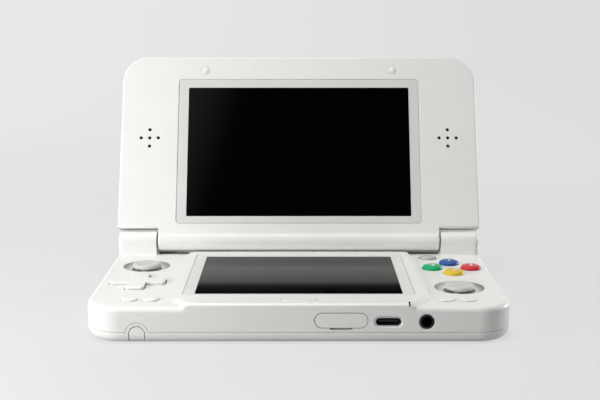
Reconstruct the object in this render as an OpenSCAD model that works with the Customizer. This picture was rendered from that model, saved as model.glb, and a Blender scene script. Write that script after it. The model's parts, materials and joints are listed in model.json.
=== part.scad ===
// Clamshell handheld game console, standing open for play.
// X runs to the right, Y to the back and Z up. The origin is the middle of the underside.
// Lid pieces are drawn in the lid's own frame (X, up the lid, out of its screen side);
// in_lid() puts them on the hinge at the opening angle.

/* [Base body] */
// Width of the base and the lid
body_w = 142; // [140:1:156]
// Depth of the base, front face to back face
body_d = 79.5; // [78:0.5:90]
// Height of the deck that carries the controls
deck_z = 12.3; // [12:0.1:14]
// Height of the seam between the base's two covers
seam_z = 3.85; // [3.4:0.05:4.2]
// Plan radius of the front corners
corner_r = 12; // [8:0.5:14]
// Plan radius of the back corners
back_corner_r = 4; // [3.6:0.1:5]
// Thickness of the outer walls of the base
wall = 1.8; // [1.5:0.1:2]
// Thickness of the deck
deck_t = 1.5; // [1.2:0.1:1.6]
// Thickness of the underside
floor_t = 1.2; // [1:0.1:1.25]
// Rounding of the deck's outer edge
deck_edge_r = 1.8; // [1:0.1:2.2]
// Rounding of the underside's outer edge
under_r = 3.1; // [1.5:0.1:3.2]
// Open joint line between two covers
seam_gap = 0.1; // [0.06:0.01:0.2]

/* [Screen platform] */
// Rise of the platform above the deck
platform_rise = 1.2; // [1:0.05:1.4]
// Width of the deck left on each side of the platform
platform_inset = 26.9; // [26:0.1:28]
// How far the platform's sides lean in over their rise
platform_lean = 1.8; // [0.8:0.1:2.2]
// Width that each slanted front corner takes
cut_w = 6.4; // [4:0.2:8]
// Depth that each slanted front corner takes
cut_d = 10.2; // [7:0.2:12]
// Rounding of the platform's front edge
platform_edge_r = 1; // [0.5:0.1:1.1]
// Plan radius of the platform's back corners
platform_corner_r = 3.5; // [2.5:0.1:4]
// Space between the platform's back edge and the hinge axis
platform_back_gap = 2.1; // [1.8:0.1:3]

/* [Lower screen] */
// Distance from the platform's sides to the inset frame
lower_frame_side = 5; // [3:0.1:6]
// Distance from the front face to the inset frame
lower_frame_front = 11.15; // [11:0.05:11.4]
// Distance from the platform's back edge to the inset frame
lower_frame_back = 5.1; // [4:0.1:6]
// Frame left on each side of the black panel
lower_glass_side = 3.9; // [2.5:0.1:5]
// Frame left in front of the black panel
lower_glass_front = 1.3; // [1.1:0.1:2]
// Frame left behind the black panel
lower_glass_back = 3.4; // [2.5:0.1:4]
// Thickness of each inset screen frame
frame_t = 0.75; // [0.5:0.05:0.8]
// Bevel round the recess of each screen frame
rim_bevel = 0.25; // [0.1:0.05:0.3]
// How far a screen frame lies under the face round it
frame_sink = 0.06; // [0.02:0.01:0.12]
// How far a black panel lies under its frame
glass_sink = 0.12; // [0.05:0.01:0.2]
// Corner radius of the inset screen frames
frame_corner_r = 1.3; // [0.8:0.1:2]
// Corner radius of the black panels
glass_corner_r = 0.5; // [0.3:0.1:1]
// Thickness of the black panels
glass_t = 1.1; // [0.9:0.05:1.15]
// Thickness of each display module
display_t = 2; // [1.6:0.1:2.1]
// Border of the display module round its black panel
display_border = 0.6; // [0.3:0.1:0.8]

/* [Hinge] */
// Opening angle of the lid from closed
open_angle = 113.9; // [90:0.1:150]
// Radius of the barrel and of the knuckles
hinge_r = 3.87; // [3.8:0.01:3.95]
// Height of the hinge axis above the deck
hinge_rise = 4.9; // [4.8:0.05:5.2]
// Width of each knuckle
knuckle_w = 15.5; // [14:0.1:18]
// Rounding of the barrel's ends
barrel_end_r = 0.8; // [0.3:0.1:1]
// Gap between the barrel's ends and the knuckles
knuckle_gap = 0.55; // [0.4:0.05:1]
// Distance of the knuckles' outer ends from the sides of the base
knuckle_inset = 0.55; // [0.3:0.05:1]
// Rounding of the outer ends of the knuckles
knuckle_edge_r = 2; // [1:0.1:3]
// Rounding at the foot of the knuckles
knuckle_foot_r = 0.4; // [0.2:0.1:0.8]
// Radius of the steel hinge shafts
shaft_r = 1.5; // [1.2:0.05:1.7]
// Depth of each hinge shaft in its knuckle
shaft_in_knuckle = 9; // [6:0.5:10]
// Depth of each hinge shaft in the barrel
shaft_in_barrel = 6; // [4:0.5:7]
// Radius of the hinge clutch and of the bush, and of the barrel's bore
clutch_r = 2.5; // [2.3:0.05:2.8]
// Length of the hinge clutch
clutch_len = 16; // [10:1:22]
// Length of the hinge bush
bush_len = 8; // [7.5:0.5:12]
// Height of the lip behind the barrel above the deck
back_lip_rise = 0.8; // [0.3:0.1:0.9]
// Thickness of the lip behind the barrel
back_lip_t = 1.4; // [1:0.1:1.8]
// Length of the slots in the deck under the barrel's ends
hinge_slot_w = 12; // [8:0.5:14]
// Width in Y of the slots in the deck under the barrel's ends
hinge_slot_d = 3.7; // [2:0.1:3.8]

/* [Lid] */
// Distance from the hinge axis to the lid's far edge
lid_len = 75.45; // [75:0.05:80]
// Distance from the hinge axis to the screen side of the lid
lid_in = 3.2; // [3:0.05:3.2]
// Distance from the hinge axis to the outer side of the lid
lid_out = 4; // [3.9:0.05:4.4]
// Distance from the hinge axis to the lid's shoulders beside the barrel
lid_foot = 4.5; // [4.4:0.05:5.4]
// Plan radius of the lid's far corners
lid_corner_r = 10.5; // [6:0.5:12]
// Plan radius of the lid's corners at the knuckles
lid_foot_r = 1; // [0.6:0.1:1.6]
// Rounding of the lid's edge on the screen side
lid_edge_r = 0.9; // [0.4:0.1:1.2]
// Rounding of the lid's outer edge
lid_back_r = 2.4; // [1:0.1:2.5]
// Thickness of the lid's outer walls
lid_wall = 1.6; // [1.2:0.1:2]
// Thickness of the lid's two faces
lid_face_t = 1.3; // [1.1:0.05:1.4]
// Depth of the lid's seam behind the hinge axis
lid_seam = 0.4; // [0:0.1:0.6]
// Radius that blends the screen side into the barrel
barrel_blend_r = 3; // [1:0.1:4]

/* [Upper screen] */
// Distance from the lid's sides to the inset frame
upper_frame_side = 23; // [21.5:0.1:24]
// Distance from the hinge axis to the inset frame
upper_frame_foot = 6.5; // [6.2:0.1:6.9]
// Distance from the lid's far edge to the inset frame
upper_frame_head = 9.85; // [9:0.05:11]
// Frame left on each side of the black panel
upper_glass_side = 3.85; // [2.5:0.05:5]
// Frame left under the black panel
upper_glass_foot = 2.75; // [2:0.05:3.5]
// Frame left over the black panel
upper_glass_head = 3.45; // [2.5:0.05:4.5]

/* [Speakers and bumpers] */
// Distance of each speaker from the lid's side
speaker_inset = 11.6; // [10:0.1:13]
// Distance of each speaker from the hinge axis
speaker_up = 41.15; // [20:0.05:55]
// Radius of each speaker
speaker_r = 6.5; // [5.5:0.1:7]
// Thickness of each speaker
speaker_t = 2.6; // [2:0.1:3]
// Radius of the sound holes
sound_hole_r = 0.58; // [0.4:0.02:0.8]
// Spacing of the sound holes
sound_pitch = 3.4; // [2.4:0.1:4]
// Distance of each rubber bumper from the side of the platform that it lands on
bumper_inset = 6.5; // [4:0.1:24]
// Distance of each rubber bumper from the lid's far edge
bumper_down = 5.95; // [5:0.05:6.5]
// Radius of the bumpers
bumper_r = 1.7; // [1.3:0.05:2]
// Height of the bumpers above the lid
bumper_proud = 0.42; // [0.2:0.02:0.45]

/* [Slide pads] */
// Distance from the sides of the base to the left controls
left_inset = 14; // [13.9:0.1:15]
// Distance from the sides of the base to the right controls
right_inset = 14.4; // [14:0.1:15]
// Distance from the front face to the left pad
left_pad_front = 55; // [54:0.25:56]
// Distance from the front face to the right pad
right_pad_front = 25; // [24.6:0.1:25.5]
// Diameter of the dished recess round each pad
dish_d = 17.5; // [16:0.1:18]
// Diameter of the hole in the dish
dish_hole_d = 11.2; // [11:0.1:12.4]
// Depth of the dished recess
dish_depth = 1.2; // [0.8:0.05:1.2]
// Diameter of the pad's cap
cap_d = 10.5; // [9.5:0.1:10.8]
// Height of the cap above the deck
cap_proud = 1.15; // [0.8:0.05:1.2]
// Distance of the cap's underside below the deck
cap_sink = 0.4; // [0.2:0.05:0.5]
// Rounding of the cap's upper and lower edges
cap_edge_r = 0.5; // [0.2:0.05:0.7]
// Depth of the hollow on top of the cap
cap_hollow = 0.35; // [0.1:0.05:0.6]
// Radius of the pad's stem
stem_r = 2.3; // [1.8:0.05:2.4]
// How far each pad slides from the middle along X and along Y
pad_travel = 2.2; // [1.8:0.05:2.3]
// Thickness of the skirt that closes the dish hole
skirt_t = 0.55; // [0.4:0.05:0.6]
// Length of the pad's carriage
carriage_w = 14; // [13:0.2:15]
// Width of the pad's carriage
carriage_d = 8; // [7.4:0.1:8.4]
// Thickness of the pad's carriage
carriage_t = 1.2; // [0.9:0.05:1.4]
// Wall of the pad housings
housing_wall = 1; // [0.7:0.1:1.4]

/* [Direction cross] */
// Distance from the front face to the cross
cross_front = 31.5; // [31:0.1:32]
// Length of the cross from end to end
cross_len = 19.5; // [18:0.1:20]
// Width of each arm
cross_arm = 6.5; // [5.5:0.1:7]
// Height of the cross above the deck
cross_proud = 1; // [0.7:0.05:1.05]
// Rounding of the cross in plan
cross_r = 1.2; // [0.6:0.1:2]
// Rounding of the cross's upper edges
cross_edge_r = 0.4; // [0.2:0.05:0.6]
// Gap round the cross in the deck
cross_gap = 0.35; // [0.3:0.01:0.5]
// Tilt of the cross each way
cross_tilt = 2.6; // [2:0.1:2.8]

/* [Face buttons] */
// Distance from the front face to the middle of the four buttons
face_front = 51.2; // [51:0.1:52]
// Distance of each button from the middle of the four
face_pitch = 7.15; // [6.6:0.05:7.4]
// Diameter of each face button
face_d = 7.4; // [6.4:0.1:7.8]
// Height of the face buttons above the deck
face_proud = 1.5; // [1:0.05:1.5]
// Height of the rounded crown of the face buttons
face_crown = 0.35; // [0.2:0.05:1]
// Rounding of the face buttons' upper edges
face_edge_r = 0.6; // [0.2:0.05:0.8]
// Travel of the face buttons
face_travel = 0.9; // [0.5:0.05:1]
// Gap round every button in its hole
button_gap = 0.15; // [0.1:0.01:0.2]
// Width of the flange that keeps a button in
flange_w = 0.7; // [0.5:0.05:0.9]
// Thickness of the buttons' flanges
flange_t = 0.6; // [0.4:0.05:0.7]
// Free space between a flange and the deck
flange_gap = 0.2; // [0.1:0.02:0.25]

/* [Small buttons] */
// Distance from the front face to the small deck buttons
small_front = 9.05; // [8.8:0.05:9.6]
// Spacing of each pair of small buttons
small_pitch = 7.1; // [7:0.05:7.3]
// Length of the small buttons
small_w = 5.4; // [4.4:0.1:5.5]
// Width of the small buttons
small_d = 4.4; // [3.4:0.1:4.6]
// Height of the small buttons above the deck
small_proud = 0.45; // [0.2:0.05:0.8]
// Rounding of the upper edges of the small buttons and of the home button
small_edge_r = 0.3; // [0.1:0.05:0.4]
// Travel of the small buttons and of the home button
small_travel = 0.4; // [0.2:0.05:0.5]
// Length of the home button
home_w = 11.8; // [9:0.1:12.4]
// Width of the home button
home_d = 5.2; // [4.2:0.1:5.2]
// Distance from the front face to the home button
home_front = 5.4; // [5.2:0.1:5.8]
// Height of the home button above the platform
home_proud = 0.2; // [0.1:0.05:0.3]

/* [Pointing nub] */
// Distance from the hinge axis to the nub
nub_back = 8.6; // [8:0.1:9]
// Distance from the sides of the base to the nub
nub_inset = 21.3; // [21:0.1:22]
// Diameter of the nub
nub_d = 6.3; // [5:0.1:6.6]
// Height of the nub above the deck
nub_proud = 0.8; // [0.5:0.05:1]
// Tilt of the nub each way
nub_tilt = 3; // [1:0.1:3.2]

/* [Front ports] */
// Distance of the card door's middle from the right side
door_inset = 57.05; // [56.5:0.05:58]
// Height of the card door's middle
door_z = 7.85; // [7.6:0.05:8]
// Width of the card door
door_w = 17.3; // [16:0.1:17.6]
// Height of the card door
door_h = 4.9; // [4.4:0.1:5]
// Thickness of the card door
door_t = 1.2; // [1:0.05:1.3]
// Gap round the card door
door_gap = 0.2; // [0.12:0.01:0.25]
// Width of the strap that the card door hangs on
strap_w = 9; // [5:0.5:12]
// Thickness of the strap
strap_t = 0.5; // [0.3:0.05:0.8]
// Width of the finger-nail notch under the door
notch_w = 7.5; // [5:0.1:9]
// Distance of the USB-C port from the right side
usb_inset = 41.6; // [41:0.1:42]
// Height of the USB-C port and of the audio jack
port_z = 7.4; // [7.3:0.05:7.6]
// Bevel round the mouths of the USB-C port and of the audio jack
port_bevel = 0.3; // [0.1:0.05:0.4]
// Width of the USB-C opening
usb_w = 8.34; // [8.3:0.01:8.4]
// Height of the USB-C opening
usb_h = 2.56; // [2.5:0.01:2.6]
// Thickness of the USB-C port's steel shell
usb_shell_t = 0.3; // [0.2:0.05:0.4]
// Length of the USB-C port
usb_len = 7.3; // [6.5:0.1:8]
// Distance of the audio jack from the right side
jack_inset = 29; // [28.5:0.1:29.5]
// Radius of the audio jack's bore
jack_bore_r = 1.8; // [1.76:0.01:1.85]
// Radius of the audio jack's collar
jack_collar_r = 2.4; // [2.2:0.05:2.6]
// Length of the audio jack's bore
jack_len = 13; // [12:0.5:14]
// Distance of the microphone slit from the right side
mic_inset = 34.7; // [34:0.1:35]
// Width of the microphone slit
mic_slit_w = 0.5; // [0.3:0.05:0.8]
// How far the microphone slit comes down the front face from the platform
mic_slit_drop = 0.7; // [0.3:0.1:1.2]

/* [Stylus] */
// Distance from the left side to the stylus
stylus_inset = 17.8; // [17.6:0.1:18.2]
// Width of the arched stylus end
stylus_w = 5; // [4.4:0.1:5.2]
// Height of the arch of the stylus end
stylus_top = 5.7; // [5.5:0.05:5.8]
// Length of the arched stylus end
stylus_cap_len = 5.5; // [4:0.1:6]
// Radius of the stylus shaft
stylus_r = 1.5; // [1.2:0.05:1.5]
// Length of the whole stylus
stylus_len = 66; // [56:1:67]
// Gap round the stylus end
stylus_gap = 0.22; // [0.1:0.01:0.3]
// Width of the cover's edge round the stylus arch
tongue_rim = 1.1; // [0.8:0.1:1.4]
// Wall of the stylus tube
tube_wall = 0.2; // [0.15:0.01:0.22]

/* [Shoulder buttons and volume] */
// Length of the shoulder buttons
shoulder_w = 15.5; // [14:0.5:16]
// Thickness of the shoulder buttons from the back face
shoulder_d = 6.2; // [5.5:0.1:6.4]
// Lower edge of the shoulder buttons
shoulder_z = 4.7; // [4.5:0.1:5.2]
// Height of the shoulder buttons
shoulder_h = 5.7; // [5:0.1:5.7]
// Turn of the shoulder buttons
shoulder_turn = 3.5; // [2:0.5:3.5]
// Radius of the shoulder pivot pins
shoulder_pin_r = 0.7; // [0.5:0.05:0.9]
// Distance from the front face to the middle of the volume slider
volume_front = 46; // [44:0.5:48]
// Height of the volume slider
volume_z = 7.6; // [7.4:0.1:7.8]
// Travel of the volume slider each way
volume_travel = 3.5; // [2:0.1:4]

/* [Inside] */
// Thickness of the main board
board_t = 0.8; // [0.6:0.05:1]
// Space between the main board and the walls
board_gap = 0.8; // [0.6:0.1:1.2]
// Width of the battery
battery_w = 58; // [40:1:60]
// Depth of the battery
battery_d = 42; // [30:1:44]
// Width of the shield over the processor
shield_w = 34; // [24:1:40]
// Depth of the shield over the processor
shield_d = 26; // [20:1:32]
// Thickness of the shield over the processor
shield_t = 1.2; // [1:0.1:1.4]
// Width of the memory card reader
reader_w = 15; // [14:0.5:16]
// Length of the memory card reader
reader_d = 18; // [16:0.5:20]
// Thickness of the memory card reader
reader_t = 3.2; // [3:0.1:3.4]
// Width of the card in the reader
card_w = 11.4; // [11.2:0.1:11.6]
// Thickness of the card's slot in the reader
card_t = 1.2; // [1:0.1:1.4]
// Thickness of the rubber sheets under the buttons
membrane_t = 0.6; // [0.4:0.05:0.8]
// Rubber sheet left round the buttons that it serves
membrane_rim = 2.5; // [1.5:0.1:3]
// Width and length of each small switch
switch_w = 4; // [3:0.1:5]
// Width of the flat cable to the upper display
cable_w = 18; // [12:0.5:22]
// How far the flat cable runs in behind the upper display
cable_under = 8.5; // [4:0.5:16]
// Radius of the screws
screw_r = 1; // [0.8:0.05:1.1]
// Length of the base's screws under their heads
screw_len = 7; // [5:0.5:7.5]
// Radius of the screw posts
post_r = 2.2; // [2:0.1:2.3]

/* [Fits] */
// Radial clearance of a shaft that turns in its hole
running = 0.05; // [0.03:0.01:0.08]
// Clearance between an inset piece and its pocket
seat = 0.05; // [0.03:0.01:0.1]
// Clearance between a fixed inner piece and its neighbours
loose = 0.2; // [0.15:0.01:0.3]

/* [Hidden] */
$fn = 64;
front_y = -body_d / 2;
back_y = body_d / 2;
side_x = body_w / 2;
platform_z = deck_z + platform_rise;
deck_under = deck_z - deck_t;
platform_under = platform_z - deck_t;
hinge_y = back_y - hinge_r;
hinge_z = deck_z + hinge_rise;
platform_back = hinge_y - platform_back_gap;
knuckle_x = side_x - knuckle_w;
barrel_w = 2 * (knuckle_x - knuckle_gap);
platform_w = body_w - 2 * platform_inset;
eps = 0.5;

lower_frame_w = platform_w - 2 * lower_frame_side;
lower_frame_d = platform_back - lower_frame_back - front_y - lower_frame_front;
lower_frame_y = front_y + lower_frame_front + lower_frame_d / 2;
lower_frame_top = platform_z - frame_sink;
lower_glass_w = lower_frame_w - 2 * lower_glass_side;
lower_glass_d = lower_frame_d - lower_glass_front - lower_glass_back;
lower_glass_y = front_y + lower_frame_front + lower_glass_front + lower_glass_d / 2;
lower_glass_top = lower_frame_top - glass_sink;
lower_display_top = lower_glass_top - glass_t;
window_gap = 0.35;

board_top = port_z - usb_h / 2 - usb_shell_t - seat;
board_under = board_top - board_t;

left_x = -side_x + left_inset;
right_x = side_x - right_inset;
left_pad_at = [left_x, front_y + left_pad_front];
right_pad_at = [right_x - 0.6, front_y + right_pad_front];
cross_at = [left_x, front_y + cross_front];
face_at = [right_x + 0.2, front_y + face_front];
left_pills_at = [left_x + 3.85, front_y + small_front];
right_pills_at = [-left_x - 3.85, front_y + small_front];
home_at = [0, front_y + home_front];
nub_at = [side_x - nub_inset, hinge_y - nub_back];

cap_under = deck_z - cap_sink;
cap_top = deck_z + cap_proud;
skirt_top = deck_under - 0.15;
skirt_under = skirt_top - skirt_t;
skirt_r = dish_hole_d / 2 + pad_travel * sqrt(2) + 0.15;
carriage_top = skirt_under - 0.4;
carriage_under = carriage_top - carriage_t;
foot_t = 0.8;
foot_r = stem_r + 0.7;
foot_under = carriage_under - 0.1 - foot_t;
housing_in_w = carriage_w + 2 * seat;
housing_in_d = 2 * (max(carriage_d / 2, foot_r) + pad_travel + 0.2);
housing_under = board_top + seat;
housing_floor = foot_under - 0.3 - housing_under;
housing_top = carriage_top - seat;

cross_top = deck_z + cross_proud;
cross_lift = (cross_len / 2 + cross_arm / 2 + 2 * flange_w) * sin(cross_tilt);
cross_flange_top = deck_under - cross_lift - 0.08;
cross_pivot_z = cross_flange_top - flange_t - 0.4;
rocker_r = 2.6;
rocker_top = cross_flange_top - flange_t - rocker_r * sin(cross_tilt) - 0.08;
rocker_t = 1;

flange_top = deck_under - flange_gap;
button_foot = flange_top - flange_t - 1.2;
dome_top = button_foot - face_travel - 0.15;
small_dome_top = button_foot - small_travel - 0.15;
membrane_top = board_top + seat + membrane_t;
home_flange_top = platform_under - flange_gap;
home_foot = home_flange_top - flange_t - 1.2;

nub_top = deck_z + nub_proud;
nub_gap = 0.35;
nub_pivot_z = deck_under - 1.2;
nub_plate_top = nub_pivot_z - 0.3;
nub_plate_t = 0.9;
nub_flange_r = nub_d / 2 + 0.6;

door_x = side_x - door_inset;
usb_x = side_x - usb_inset;
jack_x = side_x - jack_inset;
mic_x = side_x - mic_inset;
mic_r = 1.5;
mic_slit_d = 0.9;
usb_y = front_y + 0.3;
jack_y = front_y + 0.1;
jack_body_y = front_y + wall + seat;
jack_body_w = 6;
jack_body_h = 5;

stylus_x = -side_x + stylus_inset;
arch_r = stylus_w / 2;
arch_z = stylus_top - arch_r;
arch_hole_r = arch_r + stylus_gap;
tongue_r = arch_hole_r + tongue_rim;
tube_r = stylus_r + 0.1 + tube_wall;
tube_z = floor_t + tube_r + 0.05;

shoulder_x = side_x - shoulder_w;
shoulder_pin_x = shoulder_x + 1.6;
shoulder_pin_y = back_y - shoulder_d / 2;
shoulder_gap = 0.3;
shoulder_switch_x = side_x - 14;
shoulder_switch_d = 2.8;
shoulder_switch_h = 3;
shoulder_swing = (shoulder_w - 1.6) * sin(shoulder_turn);
partition_t = 1.2;
partition_y = back_y - shoulder_d - shoulder_swing - shoulder_gap;

volume_y = front_y + volume_front;
volume_len = 5;
volume_h = 2.4;
volume_recess = 0.8;

screw_head_r = 1.9 * screw_r;
screw_head_t = 0.9;
screw_head_z = 0.35;
corner_screw = [side_x - 7.5, front_y + 8.25];
back_screw = [side_x - 6.5, back_y - 12.25];
middle_screw = [platform_w / 2 - 14.1, back_y - 5.75];
post_spots = [corner_screw, back_screw, middle_screw];

lid_mid = (lid_foot + lid_len) / 2;
speaker_x = side_x - speaker_inset;
bumper_x = platform_w / 2 - bumper_inset;
upper_frame_w = body_w - 2 * upper_frame_side;
upper_frame_h = lid_len - upper_frame_head - upper_frame_foot;
upper_glass_w = upper_frame_w - 2 * upper_glass_side;
upper_glass_h = upper_frame_h - upper_glass_foot - upper_glass_head;
upper_frame_mid = upper_frame_foot + upper_frame_h / 2;
upper_frame_top = lid_in - frame_sink;
upper_glass_mid = upper_frame_foot + upper_glass_foot + upper_glass_h / 2;
upper_glass_top = upper_frame_top - glass_sink;
upper_display_top = upper_glass_top - glass_t;
lid_in_under = lid_in - lid_face_t;
lid_out_under = lid_out - lid_face_t;
bumper_up = lid_len - bumper_down;
bumper_depth = 0.6;
lid_head_r = 1.5;
lid_head_t = 0.8;
cable_t = 0.2;
cable_z = -0.85;
cable_neck_w = cable_w + 4;
cable_neck_z = 1.7;
cable_roll_r = 1.8;

// ---- shared shapes ----

// Lid frame: X, then up the lid from the hinge axis, then out of the screen side
module in_lid() {
  translate([0, hinge_y, hinge_z]) rotate([180 - open_angle, 0, 0]) children();
}

// The same piece on both sides
module both_sides() {
  children();
  mirror([1, 0, 0]) children();
}

// Rectangle with round corners, centred
module round_rect(w, d, r) {
  square([w - 2 * r, d], center = true);
  square([w, d - 2 * r], center = true);
  for (x = [-1, 1], y = [-1, 1]) translate([x * (w / 2 - r), y * (d / 2 - r)]) circle(r);
}

// Plate with round corners, from height z up by t
module round_plate(at, w, d, r, z, t) {
  translate([at[0], at[1], z]) linear_extrude(t) round_rect(w, d, r);
}

// Pill outline of length w and width d
module pill(w, d) {
  square([w - d, d], center = true);
  for (x = [-1, 1]) translate([x * (w - d) / 2, 0]) circle(d / 2);
}

// Cross outline with arms of width arm and round ends
module cross_plan(len, arm, r) {
  round_rect(len, arm, r);
  round_rect(arm, len, r);
}

// Cut that bevels the rim of a recess with round corners: its foot has the recess's own size
module rim_cut(at, w, d, r, z) {
  high = 2 * rim_bevel;
  translate([at[0], at[1], z - rim_bevel]) {
    for (x = [-1, 1], y = [-1, 1]) translate([x * (w / 2 - r), y * (d / 2 - r), 0])
      cylinder(h = high, r1 = r, r2 = r + high);
    along_x(w - 2 * r) rim_section(d, high);
    rotate([0, 0, 90]) along_x(d - 2 * r) rim_section(w, high);
  }
}

module rim_section(d, high) {
  polygon([[-d / 2, 0], [d / 2, 0], [d / 2 + high, high], [-d / 2 - high, high]]);
}

// Section from the middle out to run, with its upper outer corner rounded
module edge_section(run, h, edge_r) {
  difference() {
    square([run, h]);
    difference() {
      translate([run - edge_r, h - edge_r]) square(2 * edge_r);
      translate([run - edge_r, h - edge_r]) circle(edge_r);
    }
  }
}

// Back half of a slab: a middle run, two side runs and two corners that share one section
module half_slab(w, d, corner, h, edge_r) {
  translate([corner - w / 2, 0, 0]) rotate([90, 0, 90])
    linear_extrude(w - 2 * corner) edge_section(d, h, edge_r);
  both_sides() {
    translate([w / 2 - corner, d - corner, 0]) {
      rotate([90, 0, 0]) linear_extrude(d - corner) edge_section(corner, h, edge_r);
      rotate_extrude(angle = 90) edge_section(corner, h, edge_r);
    }
  }
}

// Half slab whose corners are tighter than its rounded edge: the roundings meet in a mitre
module mitred_half(w, d, corner, h, edge_r) {
  intersection() {
    along_x(w) edge_section(d, h, edge_r);
    translate([0, d, 0]) rotate([90, 0, 0]) linear_extrude(d) both_sides() edge_section(w / 2, h, edge_r);
    linear_extrude(h) round_rect(w, 2 * d, corner);
  }
}

// Slab from z = 0 to h, its upper edge rounded, with unlike front and back corners
module slab(w, d, front_r, rear_r, h, edge_r) {
  half_slab(w, d / 2, rear_r, h, edge_r);
  mirror([0, 1, 0]) half_slab(w, d / 2, front_r, h, edge_r);
}

// Plan of a slab's wall set in by inset, from height z up by t
module slab_core(w, d, front_r, rear_r, inset, z, t) {
  translate([0, 0, z]) linear_extrude(t) {
    intersection() {
      round_rect(w - 2 * inset, d - 2 * inset, max(front_r - inset, 0.3));
      translate([-w / 2, -d / 2]) square([w, d / 2 + 0.01]);
    }
    intersection() {
      round_rect(w - 2 * inset, d - 2 * inset, rear_r - inset);
      translate([-w / 2, 0]) square([w, d / 2]);
    }
  }
}

// Section in Y and Z carried along X over length w about the middle
module along_x(w) {
  translate([-w / 2, 0, 0]) rotate([90, 0, 90]) linear_extrude(w) children();
}

// Outline in X and Z carried back from y by depth d
module along_y(y, d) {
  translate([0, y + d, 0]) rotate([90, 0, 0]) linear_extrude(d) children();
}

// Round button: crown cut from a sphere, rounded edge, flange under the deck and a foot
module round_button(at, d, top, crown, edge_r, flange_at, foot) {
  ball = (d * d / 4 + crown * crown) / (2 * crown);
  translate([at[0], at[1], 0]) {
    intersection() {
      translate([0, 0, flange_at]) rotate_extrude() edge_section(d / 2, top - flange_at, edge_r);
      translate([0, 0, top - ball]) sphere(ball, $fn = 128);
    }
    translate([0, 0, flange_at - flange_t]) cylinder(h = flange_t, r = d / 2 + flange_w);
    translate([0, 0, foot]) cylinder(h = flange_at - foot, r = d / 4);
  }
}

// Pill button: rounded in plan and at its upper edge, with a flange and a foot
module pill_button(at, w, d, top, flange_at, foot) {
  translate([at[0], at[1], 0]) {
    translate([0, 0, flange_at]) {
      along_x(w - d) both_sides() edge_section(d / 2, top - flange_at, small_edge_r);
      for (x = [-1, 1]) translate([x * (w - d) / 2, 0, 0])
        rotate_extrude() edge_section(d / 2, top - flange_at, small_edge_r);
    }
    translate([0, 0, flange_at - flange_t]) linear_extrude(flange_t)
      pill(w + 2 * flange_w, d + 2 * flange_w);
    translate([0, 0, foot]) cylinder(h = flange_at - foot, r = d / 4);
  }
}

// Screw along +Z with its head below z, its slot left to the finish
module screw(at, z, len, r, head_r, head_t) {
  translate([at[0], at[1], z - head_t]) cylinder(h = head_t, r = head_r);
  translate([at[0], at[1], z]) cylinder(h = len, r = r);
}

// ---- base ----

// Section of the raised platform with leaning sides
module platform_section() {
  foot = platform_w / 2;
  head = foot - platform_lean;
  low = deck_z - deck_edge_r - eps;
  polygon([
    [-foot, low], [foot, low], [foot, deck_z],
    [head, platform_z], [-head, platform_z], [-foot, deck_z]
  ]);
}

// Half-space outside a slanted front corner of the platform
module slanted_cut() {
  lean = platform_lean * (platform_rise + 1) / platform_rise;
  low = -deck_edge_r - 2 * eps;
  translate([platform_w / 2, front_y + cut_d, deck_z]) rotate([0, 0, -atan2(cut_w, cut_d)])
    rotate([90, 0, 0]) linear_extrude(4 * cut_d, center = true)
      polygon([
        [0, low], [3 * cut_w, low], [3 * cut_w, platform_rise + 1],
        [-lean, platform_rise + 1], [0, 0]
      ]);
}

// What a back corner of the platform loses: the block outside a cone as steep as the sides
module platform_corner_cut() {
  sink = 0.2;
  slope = platform_lean / platform_rise;
  middle = [platform_w / 2 - platform_lean - platform_corner_r, platform_back - platform_corner_r];
  translate([middle[0], middle[1], deck_z - sink]) difference() {
    cube([2 * platform_corner_r + platform_lean, 2 * platform_corner_r, platform_rise + sink + 1]);
    cylinder(h = platform_rise + sink + 1, r1 = platform_corner_r + slope * (platform_rise + sink),
      r2 = platform_corner_r - slope);
  }
}

module platform() {
  difference() {
    intersection() {
      along_y(front_y, platform_back - front_y) platform_section();
      translate([0, platform_back, 0]) mirror([0, 1, 0]) along_x(platform_w + 1)
        edge_section(platform_back - front_y, platform_z, platform_edge_r);
    }
    both_sides() {
      slanted_cut();
      platform_corner_cut();
    }
  }
}

// Knuckle at the back corner: round on top and at its outer end, with a small fillet at its foot
module knuckle() {
  run = knuckle_w - knuckle_inset;
  front = hinge_y - hinge_r;
  intersection() {
    translate([0, 0, deck_under]) linear_extrude(2 * hinge_rise + deck_t)
      round_rect(body_w, body_d, back_corner_r);
    union() {
      translate([knuckle_x, hinge_y, hinge_z]) rotate([0, 90, 0]) rotate_extrude()
        edge_section(hinge_r, run, knuckle_edge_r);
      translate([knuckle_x, hinge_y, deck_under]) linear_extrude(hinge_z - deck_under)
        for (side = [0, 1]) mirror([0, side]) edge_section(run, hinge_r, knuckle_edge_r);
    }
  }
  translate([knuckle_x, 0, 0]) rotate([90, 0, 90]) linear_extrude(run - knuckle_edge_r) difference() {
    translate([front - knuckle_foot_r, deck_z - eps]) square([2 * knuckle_foot_r, knuckle_foot_r + eps]);
    translate([front - knuckle_foot_r, deck_z + knuckle_foot_r]) circle(knuckle_foot_r);
  }
}

// Stadium outline in X and Z
module port_outline(x, z, w, h) {
  translate([x, z]) pill(w, h);
}

// Round bowl with a hole through the deck: its wall is an arc that runs out flat at the hole
module dish_cut(at) {
  bowl = (dish_d - dish_hole_d) / 2;
  arc_r = (pow(bowl, 2) + pow(dish_depth, 2)) / (2 * dish_depth);
  translate([at[0], at[1], deck_z - dish_depth]) rotate_extrude() {
    square([dish_hole_d / 2, dish_depth + 1]);
    translate([dish_hole_d / 2, 0]) intersection() {
      translate([0, arc_r]) circle(arc_r, $fn = 128);
      translate([-0.1, 0]) square([bowl + 0.1, dish_depth + 1]);
    }
  }
  translate([at[0], at[1], deck_under - 1]) cylinder(h = deck_t + 2, r = dish_hole_d / 2);
}

module deck_hole(at, r) {
  translate([at[0], at[1], deck_under - 1]) cylinder(h = deck_t + platform_rise + 2, r = r);
}

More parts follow.
